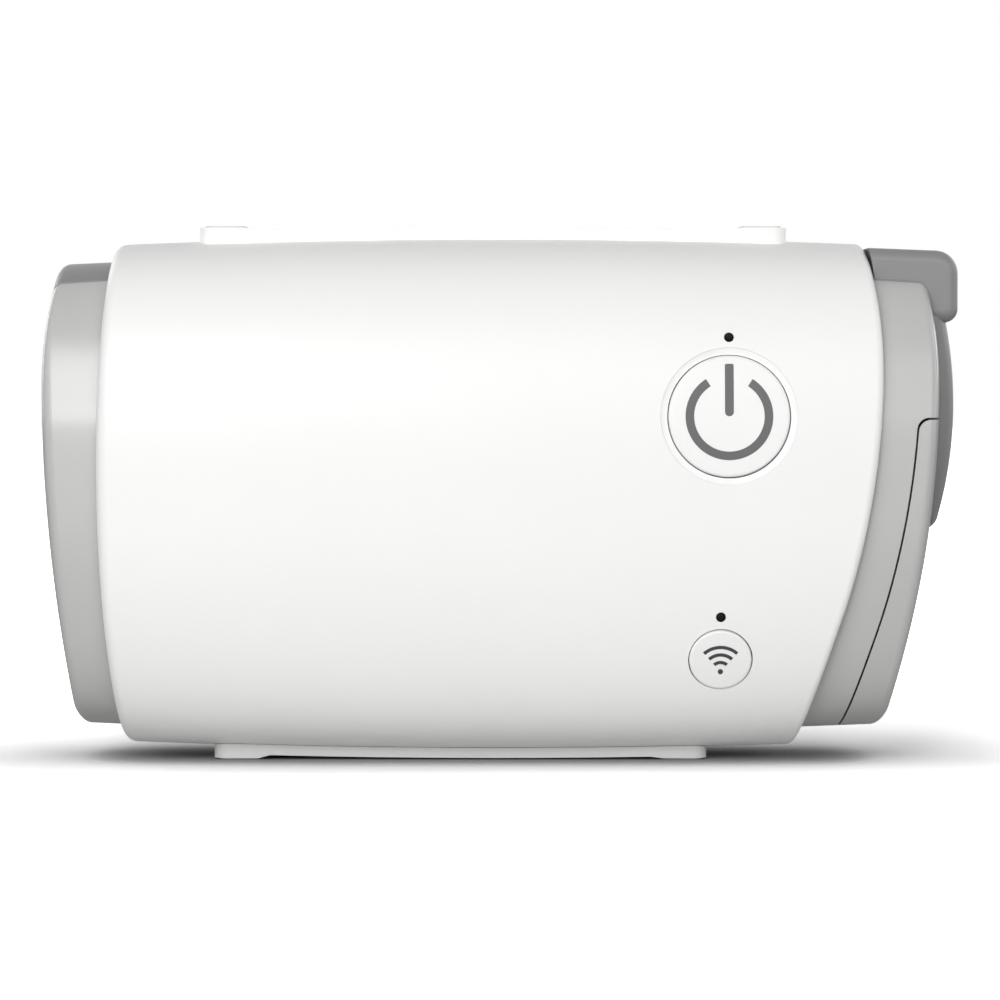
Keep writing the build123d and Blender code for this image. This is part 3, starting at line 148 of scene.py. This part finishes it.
def right_rim(z):
    """X of the right rim at a height: an upper arc, a main arc and a straight slant below."""
    rise = (z - RIGHT_RIM_Z) ** 2
    if z > RIGHT_RIM_Z:
        return RIGHT_RIM_X - RIGHT_RIM_UPPER + math.sqrt(RIGHT_RIM_UPPER**2 - rise)
    turn = math.radians(RIGHT_RIM_SLANT)
    low_z = RIGHT_RIM_Z - RIGHT_RIM_MAIN * math.sin(turn)
    if z > low_z:
        return RIGHT_RIM_X - RIGHT_RIM_MAIN + math.sqrt(RIGHT_RIM_MAIN**2 - rise)
    low_x = RIGHT_RIM_X - RIGHT_RIM_MAIN * (1 - math.cos(turn))
    return low_x - (low_z - z) * math.tan(turn)


def barrel_normal(x, y, z):
    """Outward direction of the barrel form through a point."""
    depth, height = half_depth(x), half_height(x)
    across, up = (y - AXIS_Y) / depth, (z - AXIS_Z) / height
    depth_fall = 2 * DEPTH_CROWN * x / CROWN_STATION**2 / depth
    height_fall = 2 * HEIGHT_CROWN * x / CROWN_STATION**2 / height
    along = abs(across) ** SECTION_POWER * depth_fall + abs(up) ** SECTION_POWER * height_fall
    slope = SECTION_POWER - 1
    out_y = math.copysign(abs(across) ** slope, across) / depth
    out_z = math.copysign(abs(up) ** slope, up) / height
    return Vector((along, out_y, out_z)).normalized()


# ---- Mesh helpers ----

def new_piece(name, vertices, faces):
    """A smooth-shaded mesh object from points in millimetres, creased at its sharp edges."""
    mesh = bpy.data.meshes.new(name)
    mesh.from_pydata([Vector(v) * MM for v in vertices], [], faces)
    piece = bpy.data.objects.new(name, mesh)
    bpy.context.scene.collection.objects.link(piece)
    crease(piece)
    return piece


def crease(piece):
    """Smooth faces, with edges past the sharp angle kept sharp."""
    build = bmesh.new()
    build.from_mesh(piece.data)
    for face in build.faces:
        face.smooth = True
    for edge in build.edges:
        edge.smooth = edge.calc_face_angle(0.0) < SHARP
    build.to_mesh(piece.data)
    build.free()


def point_outwards(piece):
    """Turns every face of a closed piece outwards."""
    build = bmesh.new()
    build.from_mesh(piece.data)
    bmesh.ops.recalc_face_normals(build, faces=build.faces)
    build.to_mesh(piece.data)
    build.free()


def true_normals(piece):
    """Gives faces on the barrel form its exact normals, so that holes leave no shading marks."""
    most_off, least_cosine = 0.01, 0.93
    mesh = piece.data
    normals = [Vector(n.vector) for n in mesh.corner_normals]
    for face in mesh.polygons:
        for loop in face.loop_indices:
            spot = mesh.vertices[mesh.loops[loop].vertex_index].co / MM
            across = abs(spot.y - AXIS_Y) / half_depth(spot.x)
            up = abs(spot.z - AXIS_Z) / half_height(spot.x)
            reach = (across**SECTION_POWER + up**SECTION_POWER) ** (1 / SECTION_POWER)
            off = abs(reach - 1) * HALF_DEPTH
            exact = barrel_normal(*spot)
            if off < most_off and exact.dot(face.normal) > least_cosine:
                normals[loop] = exact
    mesh.normals_split_custom_set(normals)


def cut(piece, cutters):
    """Takes closed cutters out of a closed piece and drops them."""
    for cutter in cutters:
        step = piece.modifiers.new("cut", "BOOLEAN")
        step.operation = "DIFFERENCE"
        step.solver = "EXACT"
        step.object = cutter
    graph = bpy.context.evaluated_depsgraph_get()
    result = bpy.data.meshes.new_from_object(piece.evaluated_get(graph))
    piece.modifiers.clear()
    piece.data = result
    for cutter in cutters:
        bpy.data.objects.remove(cutter)
    crease(piece)


def circle(place, radius, height, count):
    """Points of a circle in a button's own frame, whose height runs out of the machine."""
    turns = [2 * math.pi * i / count for i in range(count)]
    return [place @ Vector((radius * math.cos(a), radius * math.sin(a), height)) for a in turns]


def on_face(spots, depth):
    """The same points moved in Y onto the front face, drawn in by depth."""
    return [Vector((spot.x, front_depth(spot.x, spot.z, depth), spot.z)) for spot in spots]


def bands(first, rows, count):
    """Quads between rows of closed rings; first is the number of the first point."""
    faces = []
    for row in range(rows - 1):
        a, b = first + row * count, first + (row + 1) * count
        for i in range(count):
            j = (i + 1) % count
            faces.append((a + i, b + i, b + j, a + j))
    return faces


def round_cutter(name, radius, reach, place, count):
    """A closed round bar through the front face; reach is (inner, outer) height."""
    vertices = circle(place, radius, reach[0], count) + circle(place, radius, reach[1], count)
    faces = []
    for i in range(count):
        j = (i + 1) % count
        faces.append((i, j, count + j, count + i))
    faces.append(tuple(reversed(range(count))))
    faces.append(tuple(range(count, 2 * count)))
    return new_piece(name, vertices, faces)


def face_frame(x, z):
    """Matrix of a plane on the front face: its Z points out of the machine."""
    tilt = front_tilt(x, z)
    out = Vector((0, -math.cos(tilt), math.sin(tilt)))
    across = Vector((1, 0, 0))
    up = out.cross(across)
    turn = Matrix((across, up, out)).transposed().to_4x4()
    return Matrix.Translation(Vector((x, front_depth(x, z), z))) @ turn


# ---- Housing shells ----

def housing_profile(angle):
    """Stations round the wall at one angle, as (x, inset): left rim, outside, right rim, inside."""
    left, right = LEFT_RIM_X, RIGHT_RIM_X
    # A rim's x and the section's height there depend on each other; four rounds settle them
    for _ in range(4):
        left = left_rim(section_point(left, angle, 0).z)
        right = right_rim(section_point(right, angle, 0).z)
    rows = [(left, WALL), (left, (WALL + LEFT_ROLL) / 2)]
    for i in range(ROLL_ROWS + 1):
        a = math.pi / 2 * i / ROLL_ROWS
        rows.append((left + LEFT_ROLL * (1 - math.cos(a)), LEFT_ROLL * (1 - math.sin(a))))
    start, end = left + LEFT_ROLL, right - RIGHT_ROLL
    for i in range(1, SIDE_ROWS):
        rows.append((start + (end - start) * i / SIDE_ROWS, 0.0))
    for i in range(ROLL_ROWS + 1):
        a = math.pi / 2 * (1 - i / ROLL_ROWS)
        rows.append((right - RIGHT_ROLL * (1 - math.cos(a)), RIGHT_ROLL * (1 - math.sin(a))))
    rows += [(right, (WALL + RIGHT_ROLL) / 2), (right, WALL)]
    for i in range(1, INNER_ROWS):
        rows.append((right + (left - right) * i / INNER_ROWS, WALL))
    return rows


def housing_shell(name, front):
    """Half of the wrap-around housing, closed along the parting line."""
    angles = even_angles(SECTION_POINTS)
    quarter = len(angles) // 4
    if front:
        chosen = angles[quarter : 3 * quarter + 1]
    else:
        chosen = angles[3 * quarter :] + angles[: quarter + 1]
    rings = [housing_profile(a) for a in chosen]
    size = len(rings[0])
    vertices = []
    for number, (angle, ring) in enumerate(zip(chosen, rings)):
        for x, inset in ring:
            spot = section_point(x, angle, inset)
            if number in (0, len(chosen) - 1):
                spot.y += -PARTING_HALF_GAP if front else PARTING_HALF_GAP
            vertices.append(spot)
    faces = bands(0, len(chosen), size)
    faces.append(tuple(range(size)))
    faces.append(tuple(reversed(range((len(chosen) - 1) * size, len(chosen) * size))))
    return new_piece(name, vertices, faces)


def front_shell():
    """Front shell with its dished start-button seat, pairing-button hole and lens holes."""
    shell = housing_shell("front_shell", True)
    start = face_frame(START_X, START_Z)
    pairing = face_frame(PAIRING_X, PAIRING_Z)
    start_hole, pairing_hole = START_RADIUS + BUTTON_GAP, PAIRING_RADIUS + BUTTON_GAP
    cutters = [
        dish_cutter(start),
        round_cutter("start_hole", start_hole, HOLE_REACH, start, HOLE_POINTS),
        round_cutter("pairing_hole", pairing_hole, HOLE_REACH, pairing, HOLE_POINTS),
    ]
    lens_hole = LENS_RADIUS + LENS_GAP
    lenses = ((START_X, START_Z + START_LENS_RISE), (PAIRING_X, PAIRING_Z + PAIRING_LENS_RISE))
    for x, z in lenses:
        place = face_frame(x, z)
        cutters.append(round_cutter("lens_hole", lens_hole, LENS_HOLE_REACH, place, LENS_POINTS))
    cut(shell, cutters)
    true_normals(shell)
    return shell


def dish_cutter(place):
    """Cutter for the shallow dished ring round the start button; it follows the curved face."""
    # (radius, depth): a rolled lip, then a floor that falls gently towards the button
    rows = [
        (START_DISH, -0.02),
        (START_DISH - 0.09, 0.15),
        (START_DISH - 0.40, 0.25),
        (START_DISH - 0.75, 0.35),
        (START_RADIUS - 0.6, 0.42),
    ]
    count = ROUND_POINTS
    vertices = []
    for radius, depth in rows:
        vertices += on_face(circle(place, radius, 0, count), depth)
    lid = len(vertices)
    vertices += circle(place, START_DISH, DISH_LID, count)
    faces = bands(0, len(rows), count)
    faces.append(tuple(range(lid - count, lid)))
    faces.append(tuple(lid + i for i in reversed(range(count))))
    for i in range(count):
        j = (i + 1) % count
        faces.append((lid + i, i, j, lid + j))
    piece = new_piece("dish", vertices, faces)
    point_outwards(piece)
    return piece


def button_cap(name, x, z, radius, proud):
    """A button whose face follows the housing, with a rolled edge."""
    place = face_frame(x, z)
    flat = radius - BUTTON_EDGE
    rows = [(flat * i / CAP_RINGS, -proud) for i in range(1, CAP_RINGS + 1)]
    for i in range(1, CAP_EDGE_ROWS + 1):
        a = math.pi / 2 * i / CAP_EDGE_ROWS
        rows.append((flat + BUTTON_EDGE * math.sin(a), -proud + BUTTON_EDGE * (1 - math.cos(a))))
    rows += [(radius, BUTTON_RIM_DEPTH), (radius, BUTTON_INSIDE), (radius * 0.5, BUTTON_INSIDE)]
    count = ROUND_POINTS
    vertices = [Vector((x, front_depth(x, z, -proud), z))]
    for r, depth in rows:
        vertices += on_face(circle(place, r, -max(depth, 0.0), count), depth)
    faces = [(0, 1 + i, 1 + (i + 1) % count) for i in range(count)]
    faces += bands(1, len(rows), count)
    last = len(vertices) - count
    faces.append(tuple(last + i for i in reversed(range(count))))
    piece = new_piece(name, vertices, faces)
    point_outwards(piece)
    return piece


# ---- Printed symbols ----

def inked(name, outlines, proud):
    """Thin printed marks on a button; each outline is a strip of (left, right) point pairs."""
    vertices, faces = [], []
    for pairs in outlines:
        base = len(vertices)
        for level in (proud - INK_SUNK, proud + INK_THICK):
            for pair in pairs:
                for x, z in pair:
                    vertices.append(Vector((x, front_depth(x, z, -level), z)))
        half = 2 * len(pairs)
        for i in range(len(pairs) - 1):
            k = base + 2 * i
            faces.append((k, k + 1, k + 3, k + 2))
            faces.append((k + half, k + half + 2, k + half + 3, k + half + 1))
            faces.append((k, k + 2, k + half + 2, k + half))
            faces.append((k + 1, k + half + 1, k + half + 3, k + 3))
        end = base + half - 2
        faces.append((base, base + half, base + half + 1, base + 1))
        faces.append((end, end + 1, end + half + 1, end + half))
    piece = new_piece(name, vertices, faces)
    point_outwards(piece)
    return piece


def arc_strip(x, z, inner, outer, start, end, steps):
    """A band of a ring as point pairs; angles in degrees from upright, clockwise."""
    pairs = []
    for i in range(steps + 1):
        a = math.radians(start + (end - start) * i / steps)
        s, c = math.sin(a), math.cos(a)
        pairs.append(((x + inner * s, z + inner * c), (x + outer * s, z + outer * c)))
    return pairs


def round_bar(x, low, high, width, top_corner):
    """An upright bar as point pairs: round below, with two rounded corners above."""
    half, sliver = width / 2, 0.001
    quarter = [math.pi / 2 * i / BAR_STEPS for i in range(BAR_STEPS + 1)]
    rows = [(half * math.sin(a) + sliver, low + half - half * math.cos(a)) for a in quarter]
    straight = high - low - half - top_corner
    rows += [(half, low + half + straight * i / BAR_STEPS) for i in range(1, BAR_STEPS)]
    for a in quarter:
        across = half - top_corner + top_corner * math.cos(a) + sliver
        rows.append((across, high - top_corner + top_corner * math.sin(a)))
    return [((x - w, z), (x + w, z)) for w, z in rows]


def standby_symbol():
    """Broken ring with a bar through its gap: the standard mark for on and standby."""
    start, end = RING_OPENING, 360 - RING_OPENING
    ring = arc_strip(START_X, START_Z, RING_INNER, RING_OUTER, start, end, RING_STEPS)
    bar = round_bar(START_X, START_Z, START_Z + BAR_LENGTH, BAR_WIDTH, BAR_CORNER)
    return inked("standby_symbol", [ring, bar], START_PROUD)


def wireless_symbol():
    """Three widening arcs over a dot: a plain mark for a radio link."""
    foot, dot = PAIRING_Z - WAVE_FOOT_DROP, WAVE_DOT_RADIUS
    outlines = [round_bar(PAIRING_X, foot - dot, foot + dot, 2 * dot, dot)]
    for radius in WAVE_RADII:
        inner, outer = radius - WAVE_HALF_WIDTH, radius + WAVE_HALF_WIDTH
        arc = arc_strip(PAIRING_X, foot, inner, outer, -WAVE_REACH, WAVE_REACH, WAVE_STEPS)
        outlines.append(arc)
    return inked("wireless_symbol", outlines, PAIRING_PROUD)


# ---- Material helpers ----

def linear(code):
    """An sRGB hex colour as linear RGBA."""
    parts = [int(code[i : i + 2], 16) / 255 for i in (1, 3, 5)]
    return (*[c / 12.92 if c <= 0.04045 else ((c + 0.055) / 1.055) ** 2.4 for c in parts], 1.0)


def add(tree, kind, links=None, **settings):
    """Adds a node; settings are properties or input values, links are inputs fed by outputs."""
    node = tree.nodes.new(kind)
    for key, value in settings.items():
        if hasattr(node, key):
            setattr(node, key, value)
        else:
            node.inputs[key.replace("_", " ")].default_value = value
    for key, source in (links or {}).items():
        tree.links.new(source, node.inputs[key])
    return node


def surface(name, **settings):
    """A new material, with its tree, its Principled shader and its object coordinates."""
    material = bpy.data.materials.new(name)
    material.use_nodes = True
    tree = material.node_tree
    shader = tree.nodes["Principled BSDF"]
    for key, value in settings.items():
        shader.inputs[key.replace("_", " ")].default_value = value
    spots = add(tree, "ShaderNodeTexCoord").outputs["Object"]
    return material, tree, shader, spots


def per_metre(grain_mm):
    """Texture scale for a pattern whose cells are grain_mm across."""
    return 1000.0 / grain_mm


def blended(tree, share, low, high):
    """A colour between two, by a share from 0 to 1."""
    mix = add(tree, "ShaderNodeMix", {"Factor": share}, data_type="RGBA")
    ends = [socket for socket in mix.inputs if socket.type == "RGBA"]
    ends[0].default_value, ends[1].default_value = linear(low), linear(high)
    return [socket for socket in mix.outputs if socket.type == "RGBA"][0]


def noise_share(tree, spots, grain_mm, detail):
    """Noise from 0 to 1, of a size in millimetres."""
    scale = per_metre(grain_mm)
    noise = add(tree, "ShaderNodeTexNoise", {"Vector": spots}, Scale=scale, Detail=detail)
    return noise.outputs["Fac"]


def varied(tree, spots, low, high, grain_mm):
    """A slow wander between two colours."""
    return blended(tree, noise_share(tree, spots, grain_mm, 3.0), low, high)


def bumped(tree, shader, height, relief_mm, strength):
    """Turns a height from 0 to 1 into relief."""
    depth = relief_mm * MM
    bump = add(tree, "ShaderNodeBump", {"Height": height}, Strength=strength, Distance=depth)
    tree.links.new(bump.outputs["Normal"], shader.inputs["Normal"])


def grained(tree, shader, spots, grain_mm, relief_mm, strength):
    """Fine grain as relief; returns its height from 0 to 1."""
    height = noise_share(tree, spots, grain_mm, 2.0)
    bumped(tree, shader, height, relief_mm, strength)
    return height


def rough_by(tree, shader, height, low, high):
    """Roughness that follows the grain between two values."""
    reach = add(tree, "ShaderNodeMapRange", {"Value": height}, To_Min=low, To_Max=high)
    tree.links.new(reach.outputs["Result"], shader.inputs["Roughness"])


def moulded(name, low, high, rough, grain_mm=0.45, relief_mm=0.012, strength=0.35, **settings):
    """Injection-moulded plastic: spark-eroded grain, and a slight wander of tone and gloss."""
    material, tree, shader, spots = surface(name, IOR=1.5, **settings)
    tone = varied(tree, spots, low, high, grain_mm=22.0)
    tree.links.new(tone, shader.inputs["Base Color"])
    height = grained(tree, shader, spots, grain_mm, relief_mm, strength)
    rough_by(tree, shader, height, rough - 0.04, rough + 0.05)
    return material


def rubbery(name, low, high, rough, grain_mm=0.6):
    """Moulded elastomer: a dull, slightly powdery skin."""
    material, tree, shader, spots = surface(name, IOR=1.45)
    tone = varied(tree, spots, low, high, grain_mm=6.0)
    tree.links.new(tone, shader.inputs["Base Color"])
    height = grained(tree, shader, spots, grain_mm, relief_mm=0.03, strength=0.5)
    rough_by(tree, shader, height, rough - 0.06, rough + 0.06)
    return material


def metal(name, low, high, rough, stretch=(1, 1, 1), grain_mm=0.5):
    """Metal with fine tool marks; stretch draws them out along one direction."""
    material, tree, shader, spots = surface(name, Metallic=1.0)
    drawn = add(tree, "ShaderNodeMapping", {"Vector": spots}, vector_type="POINT", Scale=stretch)
    marks = drawn.outputs["Vector"]
    tone = varied(tree, marks, low, high, grain_mm * 2)
    tree.links.new(tone, shader.inputs["Base Color"])
    height = grained(tree, shader, marks, grain_mm, relief_mm=0.01, strength=0.3)
    rough_by(tree, shader, height, rough - 0.08, rough + 0.08)
    return material


def cellular(name, low, high, cell_mm, relief_mm):
    """Open-cell foam or fibre: pits between walls, with painted shade darkening the pits."""
    material, tree, shader, spots = surface(name, Roughness=0.95, IOR=1.4)
    cells = add(tree, "ShaderNodeTexVoronoi", {"Vector": spots}, Scale=per_metre(cell_mm))
    wall_height_and_pit_shade = cells.outputs["Distance"]
    # Painted shade: the colour darkens towards the pit floors, following the same value as the
    # relief
    tree.links.new(blended(tree, wall_height_and_pit_shade, low, high), shader.inputs["Base Color"])
    bumped(tree, shader, wall_height_and_pit_shade, relief_mm, strength=0.8)
    return material


def board_laminate():
    """Green solder mask over copper tracks: a faint square pattern under a gloss coat."""
    material, tree, shader, spots = surface("green_solder_mask", Roughness=0.35, IOR=1.55)
    tracks = add(
        tree, "ShaderNodeTexBrick", {"Vector": spots}, Scale=per_metre(6.0), offset=0.3,
        Color1=linear("#0f4a2b"), Color2=linear("#125433"), Mortar=linear("#1b6a42"),
        Mortar_Size=0.012,
    )
    tree.links.new(tracks.outputs["Color"], shader.inputs["Base Color"])
    grained(tree, shader, spots, grain_mm=0.8, relief_mm=0.02, strength=0.25)
    return material


def ink(name, low, high):
    """Pad-printed ink: a thin, slightly duller film than the plastic below."""
    return moulded(name, low, high, 0.5, grain_mm=0.3, relief_mm=0.006)


def finish(piece, material):
    """Gives a piece one material in place of any it had."""
    piece.data.materials.clear()
    piece.data.materials.append(material)


# ---- Materials ----

def make_materials():
    """One finish for each slot of the record."""
    # How tool marks are stretched: across a stack, along a winding, round a turned can
    stacked, wound, turned = (0.1, 6.0, 0.1), (1.0, 0.15, 1.0), (1.0, 8.0, 1.0)
    return {
        # Satin white ABS: reads as a clean shell with soft, wide highlights
        "housing_white": moulded("satin_white_abs", "#efefee", "#f2f2f1", 0.40),
        # Light-grey ABS from a smoother tool face: a clearer highlight than the white
        "cap_grey": moulded("smooth_light_grey_abs", "#b7b7b6", "#bcbcbb", 0.24, strength=0.15),
        # Mid-grey glass-filled nylon: flatter and more even than the ABS
        "frame_grey": moulded("satin_mid_grey_nylon", "#7f7f80", "#848485", 0.40),
        # White TPE: reads duller and softer than the shell beside it
        "pad_white": rubbery("white_tpe_pad", "#d0d0cf", "#d6d6d5", 0.62),
        # Grey rubber: almost no highlight
        "foot_grey": rubbery("grey_rubber_foot", "#7a7a7b", "#838384", 0.70),
        # Grey acetal: a shade darker and slicker than the frame round it
        "port_grey": moulded("fine_grey_acetal", "#6b6b6c", "#717172", 0.34, strength=0.2),
        # Pressed silicone: a milky, faintly cool lip
        "seal_silicone": rubbery("translucent_silicone", "#c9ccce", "#d3d6d8", 0.42, 0.9),
        # Smoked polycarbonate: reads as a plain black dot while the lamp behind it is off
        "lens_black": moulded(
            "smoked_black_polycarbonate", "#060607", "#08080a", 0.30,
            strength=0.05, Specular_IOR_Level=0.12,
        ),
        # Black nylon: a dark socket with a soft sheen on its lip
        "socket_black": moulded("black_nylon_socket", "#1a1a1b", "#202021", 0.45),
        # Gold plating: a small warm glint in the dark socket
        "plated_contact": metal("gold_plated_contact", "#d8b25c", "#e0bd6a", 0.22),
        # Zinc plating: cool grey heads, slightly dulled
        "screw_steel": metal("zinc_plated_steel", "#a9abae", "#b6b8ba", 0.32),
        # Solder mask: green, with the tracks just showing
        "board_green": board_laminate(),
        # Moulded epoxy: matt black blocks
        "chip_black": moulded("black_epoxy_package", "#191a1b", "#222324", 0.55, grain_mm=0.3),
        # Tinned steel: a pale can with cloudy reflections
        "shield_tin": metal("tinned_steel_can", "#b9bbbc", "#c5c7c8", 0.35),
        # Ceramic: a warm, dull off-white
        "sensor_white": moulded("white_ceramic_package", "#d8d6cf", "#e0ded7", 0.5),
        # Uncoloured PBT: a milky case with a trace of green
        "volute_plastic": moulded("natural_pbt_volute", "#c9ccc9", "#d2d4d1", 0.38),
        # Uncoloured PEEK: its own beige, fine enough for thin blades
        "impeller_plastic": moulded(
            "natural_peek_impeller", "#c2b290", "#cbbc9b", 0.36, grain_mm=0.3
        ),
        # Nickel plating: close to a mirror
        "magnet_nickel": metal("nickel_plated_magnet", "#aeb0b3", "#b9bbbe", 0.18),
        # Stacked steel sheets: fine layers of light and dark
        "lamination_steel": metal(
            "stacked_lamination_steel", "#606366", "#7a7d80", 0.45, stacked, 0.35
        ),
        # Enamelled copper: reddish turns side by side
        "winding_copper": metal("enamelled_copper_wire", "#a9582c", "#c06c38", 0.30, wound, 0.25),
        # Turned aluminium: pale rings from the lathe
        "motor_aluminium": metal("turned_aluminium_can", "#b7babd", "#c6c9cb", 0.28, turned, 0.3),
        # PVC: black leads with a waxy sheen
        "lead_insulation": rubbery("pvc_lead_insulation", "#1d1d1f", "#28282a", 0.48),
        # Cut polyurethane foam: near black, pitted like a sponge, with painted shade in the pits
        "foam_charcoal": cellular("charcoal_open_cell_foam", "#0d0d0e", "#3b3b3d", 1.1, 0.5),
        # Needled felt: white, with small hollows painted grey as shade
        "filter_fibre": cellular("white_fibre_felt", "#bfbfba", "#f2f2ee", 0.7, 0.15),
    }


# ---- Studio, in metres, with the lamps in watts ----

LAMPS = (
    # Name, place, size, power
    ("key", (-0.60, -1.30, 0.58), (1.1, 0.8), 10.0),
    ("fill", (0.75, -1.38, 0.40), (1.1, 0.9), 7.3),
    ("left_card", (-0.30, -1.50, 0.43), (0.42, 0.70), 5.4),
    ("left_strip", (-1.3, -0.35, 0.35), (0.25, 0.9), 1.6),
    ("right_strip", (1.35, 0.20, 0.35), (0.3, 0.9), 3.0),
    ("back_left", (-1.0, 1.15, 0.55), (0.7, 0.9), 4.2),
    ("back_right", (1.0, 1.15, 0.55), (0.7, 0.9), 4.2),
)
WHITE = (1, 1, 1, 1)
PAPER = (0.62, 0.62, 0.62, 1)
FLOOR_REACH = 4.0
CONTACT_REACH = 0.04
GLOW_START, GLOW_FULL = 0.07, 0.25
SURROUND_LIGHT = 0.13


def studio():
    """White paper floor, white surroundings, soft lamps and the camera."""
    scene = bpy.context.scene
    scene.view_settings.view_transform = "Standard"
    floor_mesh = bpy.data.meshes.new("floor")
    reach = FLOOR_REACH
    corners = [(-reach, -reach, 0), (reach, -reach, 0), (reach, reach, 0), (-reach, reach, 0)]
    floor_mesh.from_pydata(corners, [], [(0, 1, 2, 3)])
    floor = bpy.data.objects.new("floor", floor_mesh)
    scene.collection.objects.link(floor)
    floor_mesh.materials.append(floor_paper())
    world_light()
    for lamp in LAMPS:
        area(*lamp)
    camera()


def floor_paper():
    """White paper; seen directly it is plain white far off and keeps the shadow near by."""
    material = bpy.data.materials.new("white_studio_paper")
    material.use_nodes = True
    tree = material.node_tree
    tree.nodes.clear()
    plain = add(tree, "ShaderNodeBsdfDiffuse", Color=PAPER)
    # Darker close under the machine, where little light gets in
    contact = add(
        tree, "ShaderNodeAmbientOcclusion", samples=8, Distance=CONTACT_REACH, Color=WHITE
    )
    openness = {"Value": contact.outputs["AO"]}
    pale = add(tree, "ShaderNodeMapRange", openness, From_Min=0.2, To_Min=0.3, To_Max=2.3)
    seen = add(tree, "ShaderNodeBsdfDiffuse", {"Color": pale.outputs["Result"]})
    # Paper far from the machine glows, so that it goes over into the white surroundings
    spots = add(tree, "ShaderNodeTexCoord").outputs["Object"]
    away = add(tree, "ShaderNodeVectorMath", operation="LENGTH")
    tree.links.new(spots, away.inputs[0])
    far = {"Value": away.outputs["Value"]}
    whiten = add(tree, "ShaderNodeMapRange", far, From_Min=GLOW_START, From_Max=GLOW_FULL)
    glow = add(tree, "ShaderNodeEmission", {"Strength": whiten.outputs["Result"]}, Color=WHITE)
    both = add(tree, "ShaderNodeAddShader")
    tree.links.new(seen.outputs["BSDF"], both.inputs[0])
    tree.links.new(glow.outputs["Emission"], both.inputs[1])
    path = add(tree, "ShaderNodeLightPath")
    mix = add(tree, "ShaderNodeMixShader")
    tree.links.new(path.outputs["Is Camera Ray"], mix.inputs[0])
    tree.links.new(plain.outputs["BSDF"], mix.inputs[1])
    tree.links.new(both.outputs["Shader"], mix.inputs[2])
    add(tree, "ShaderNodeOutputMaterial", {"Surface": mix.outputs["Shader"]})
    return material


def world_light():
    """Even white surroundings: full white where seen or mirrored, dimmer as light."""
    world = bpy.data.worlds.new("studio")
    bpy.context.scene.world = world
    world.use_nodes = True
    tree = world.node_tree
    tree.nodes.clear()
    path = add(tree, "ShaderNodeLightPath")
    shown = path.outputs["Is Camera Ray"]
    for ray in ("Is Glossy Ray", "Is Transmission Ray"):
        either = add(tree, "ShaderNodeMath", operation="MAXIMUM")
        tree.links.new(shown, either.inputs[0])
        tree.links.new(path.outputs[ray], either.inputs[1])
        shown = either.outputs[0]
    dim = add(tree, "ShaderNodeMapRange", {"Value": shown}, To_Min=SURROUND_LIGHT, To_Max=1.0)
    back = add(tree, "ShaderNodeBackground", {"Strength": dim.outputs["Result"]}, Color=WHITE)
    add(tree, "ShaderNodeOutputWorld", {"Surface": back.outputs["Background"]})


def area(name, place, size, power):
    """A soft rectangular lamp aimed at the machine."""
    light = bpy.data.lights.new(name, "AREA")
    light.shape = "RECTANGLE"
    light.size, light.size_y = size
    light.energy = power
    lamp = bpy.data.objects.new(name, light)
    lamp.location = place
    aim = Vector((0, 0, AXIS_Z * MM)) - Vector(place)
    lamp.rotation_mode = "QUATERNION"
    lamp.rotation_quaternion = aim.to_track_quat("-Z", "Y")
    bpy.context.scene.collection.objects.link(lamp)


def camera():
    """Long lens, a little above the machine's middle, square on to its front."""
    distance, elevation = 750.0, math.radians(1.5)
    aim = Vector((0.32, 0, 37.76))
    data = bpy.data.cameras.new("camera")
    data.lens, data.sensor_width = 182.45, 36.0
    data.clip_start, data.clip_end = 0.01, 20.0
    view = bpy.data.objects.new("camera", data)
    away = Vector((0, -math.cos(elevation), math.sin(elevation)))
    view.location = (aim + away * distance) * MM
    view.rotation_mode = "QUATERNION"
    view.rotation_quaternion = (aim * MM - view.location).to_track_quat("-Z", "Y")
    bpy.context.scene.collection.objects.link(view)
    bpy.context.scene.camera = view


# ---- Assembly ----

def dress():
    """Gives every node its finish, and puts the visible shells, caps and symbols in place."""
    finishes = make_materials()
    white = finishes["housing_white"]
    slots = {s["node"]: s.get("material_slot", s["node"]) for s in frame["record"]["subparts"]}
    for name, node in frame["nodes"].items():
        finish(node, finishes[slots[name]])
    # Matt ABS with painted shade: the rail it stands on is coloured greyer than the shell for the
    # shade it sits in, under the housing's belly and close to the floor
    painted_shade_rail_grey = moulded("rail_abs_with_painted_shade", "#c2c2c1", "#c7c7c6", 0.46)
    finish(frame["nodes"]["bottom_rail"], painted_shade_rail_grey)
    shell = front_shell()
    finish(shell, white)
    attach(shell, "housing")
    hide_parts("front_cover")
    back = housing_shell("rear_shell", False)
    finish(back, white)
    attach(back, "housing")
    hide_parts("rear_cover")
    start = button_cap("start_button_cap", START_X, START_Z, START_RADIUS, START_PROUD)
    pairing = button_cap("pairing_button_cap", PAIRING_X, PAIRING_Z, PAIRING_RADIUS, PAIRING_PROUD)
    marks = standby_symbol()
    link_marks = wireless_symbol()
    mid_ink = ink("mid_grey_pad_ink", "#595959", "#606060")
    dark_ink = ink("dark_grey_pad_ink", "#363636", "#3e3e3e")
    for piece, body, node, slot, material in (
        (start, "start_button", "start_button", "housing_white", white),
        (pairing, "pairing_button", "pairing_button", "housing_white", white),
        (marks, "start_button", None, "frame_grey", mid_ink),
        (link_marks, "pairing_button", None, "lens_black", dark_ink),
    ):
        finish(piece, material)
        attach(piece, body)
        if node:
            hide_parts(node)


dress()
studio()
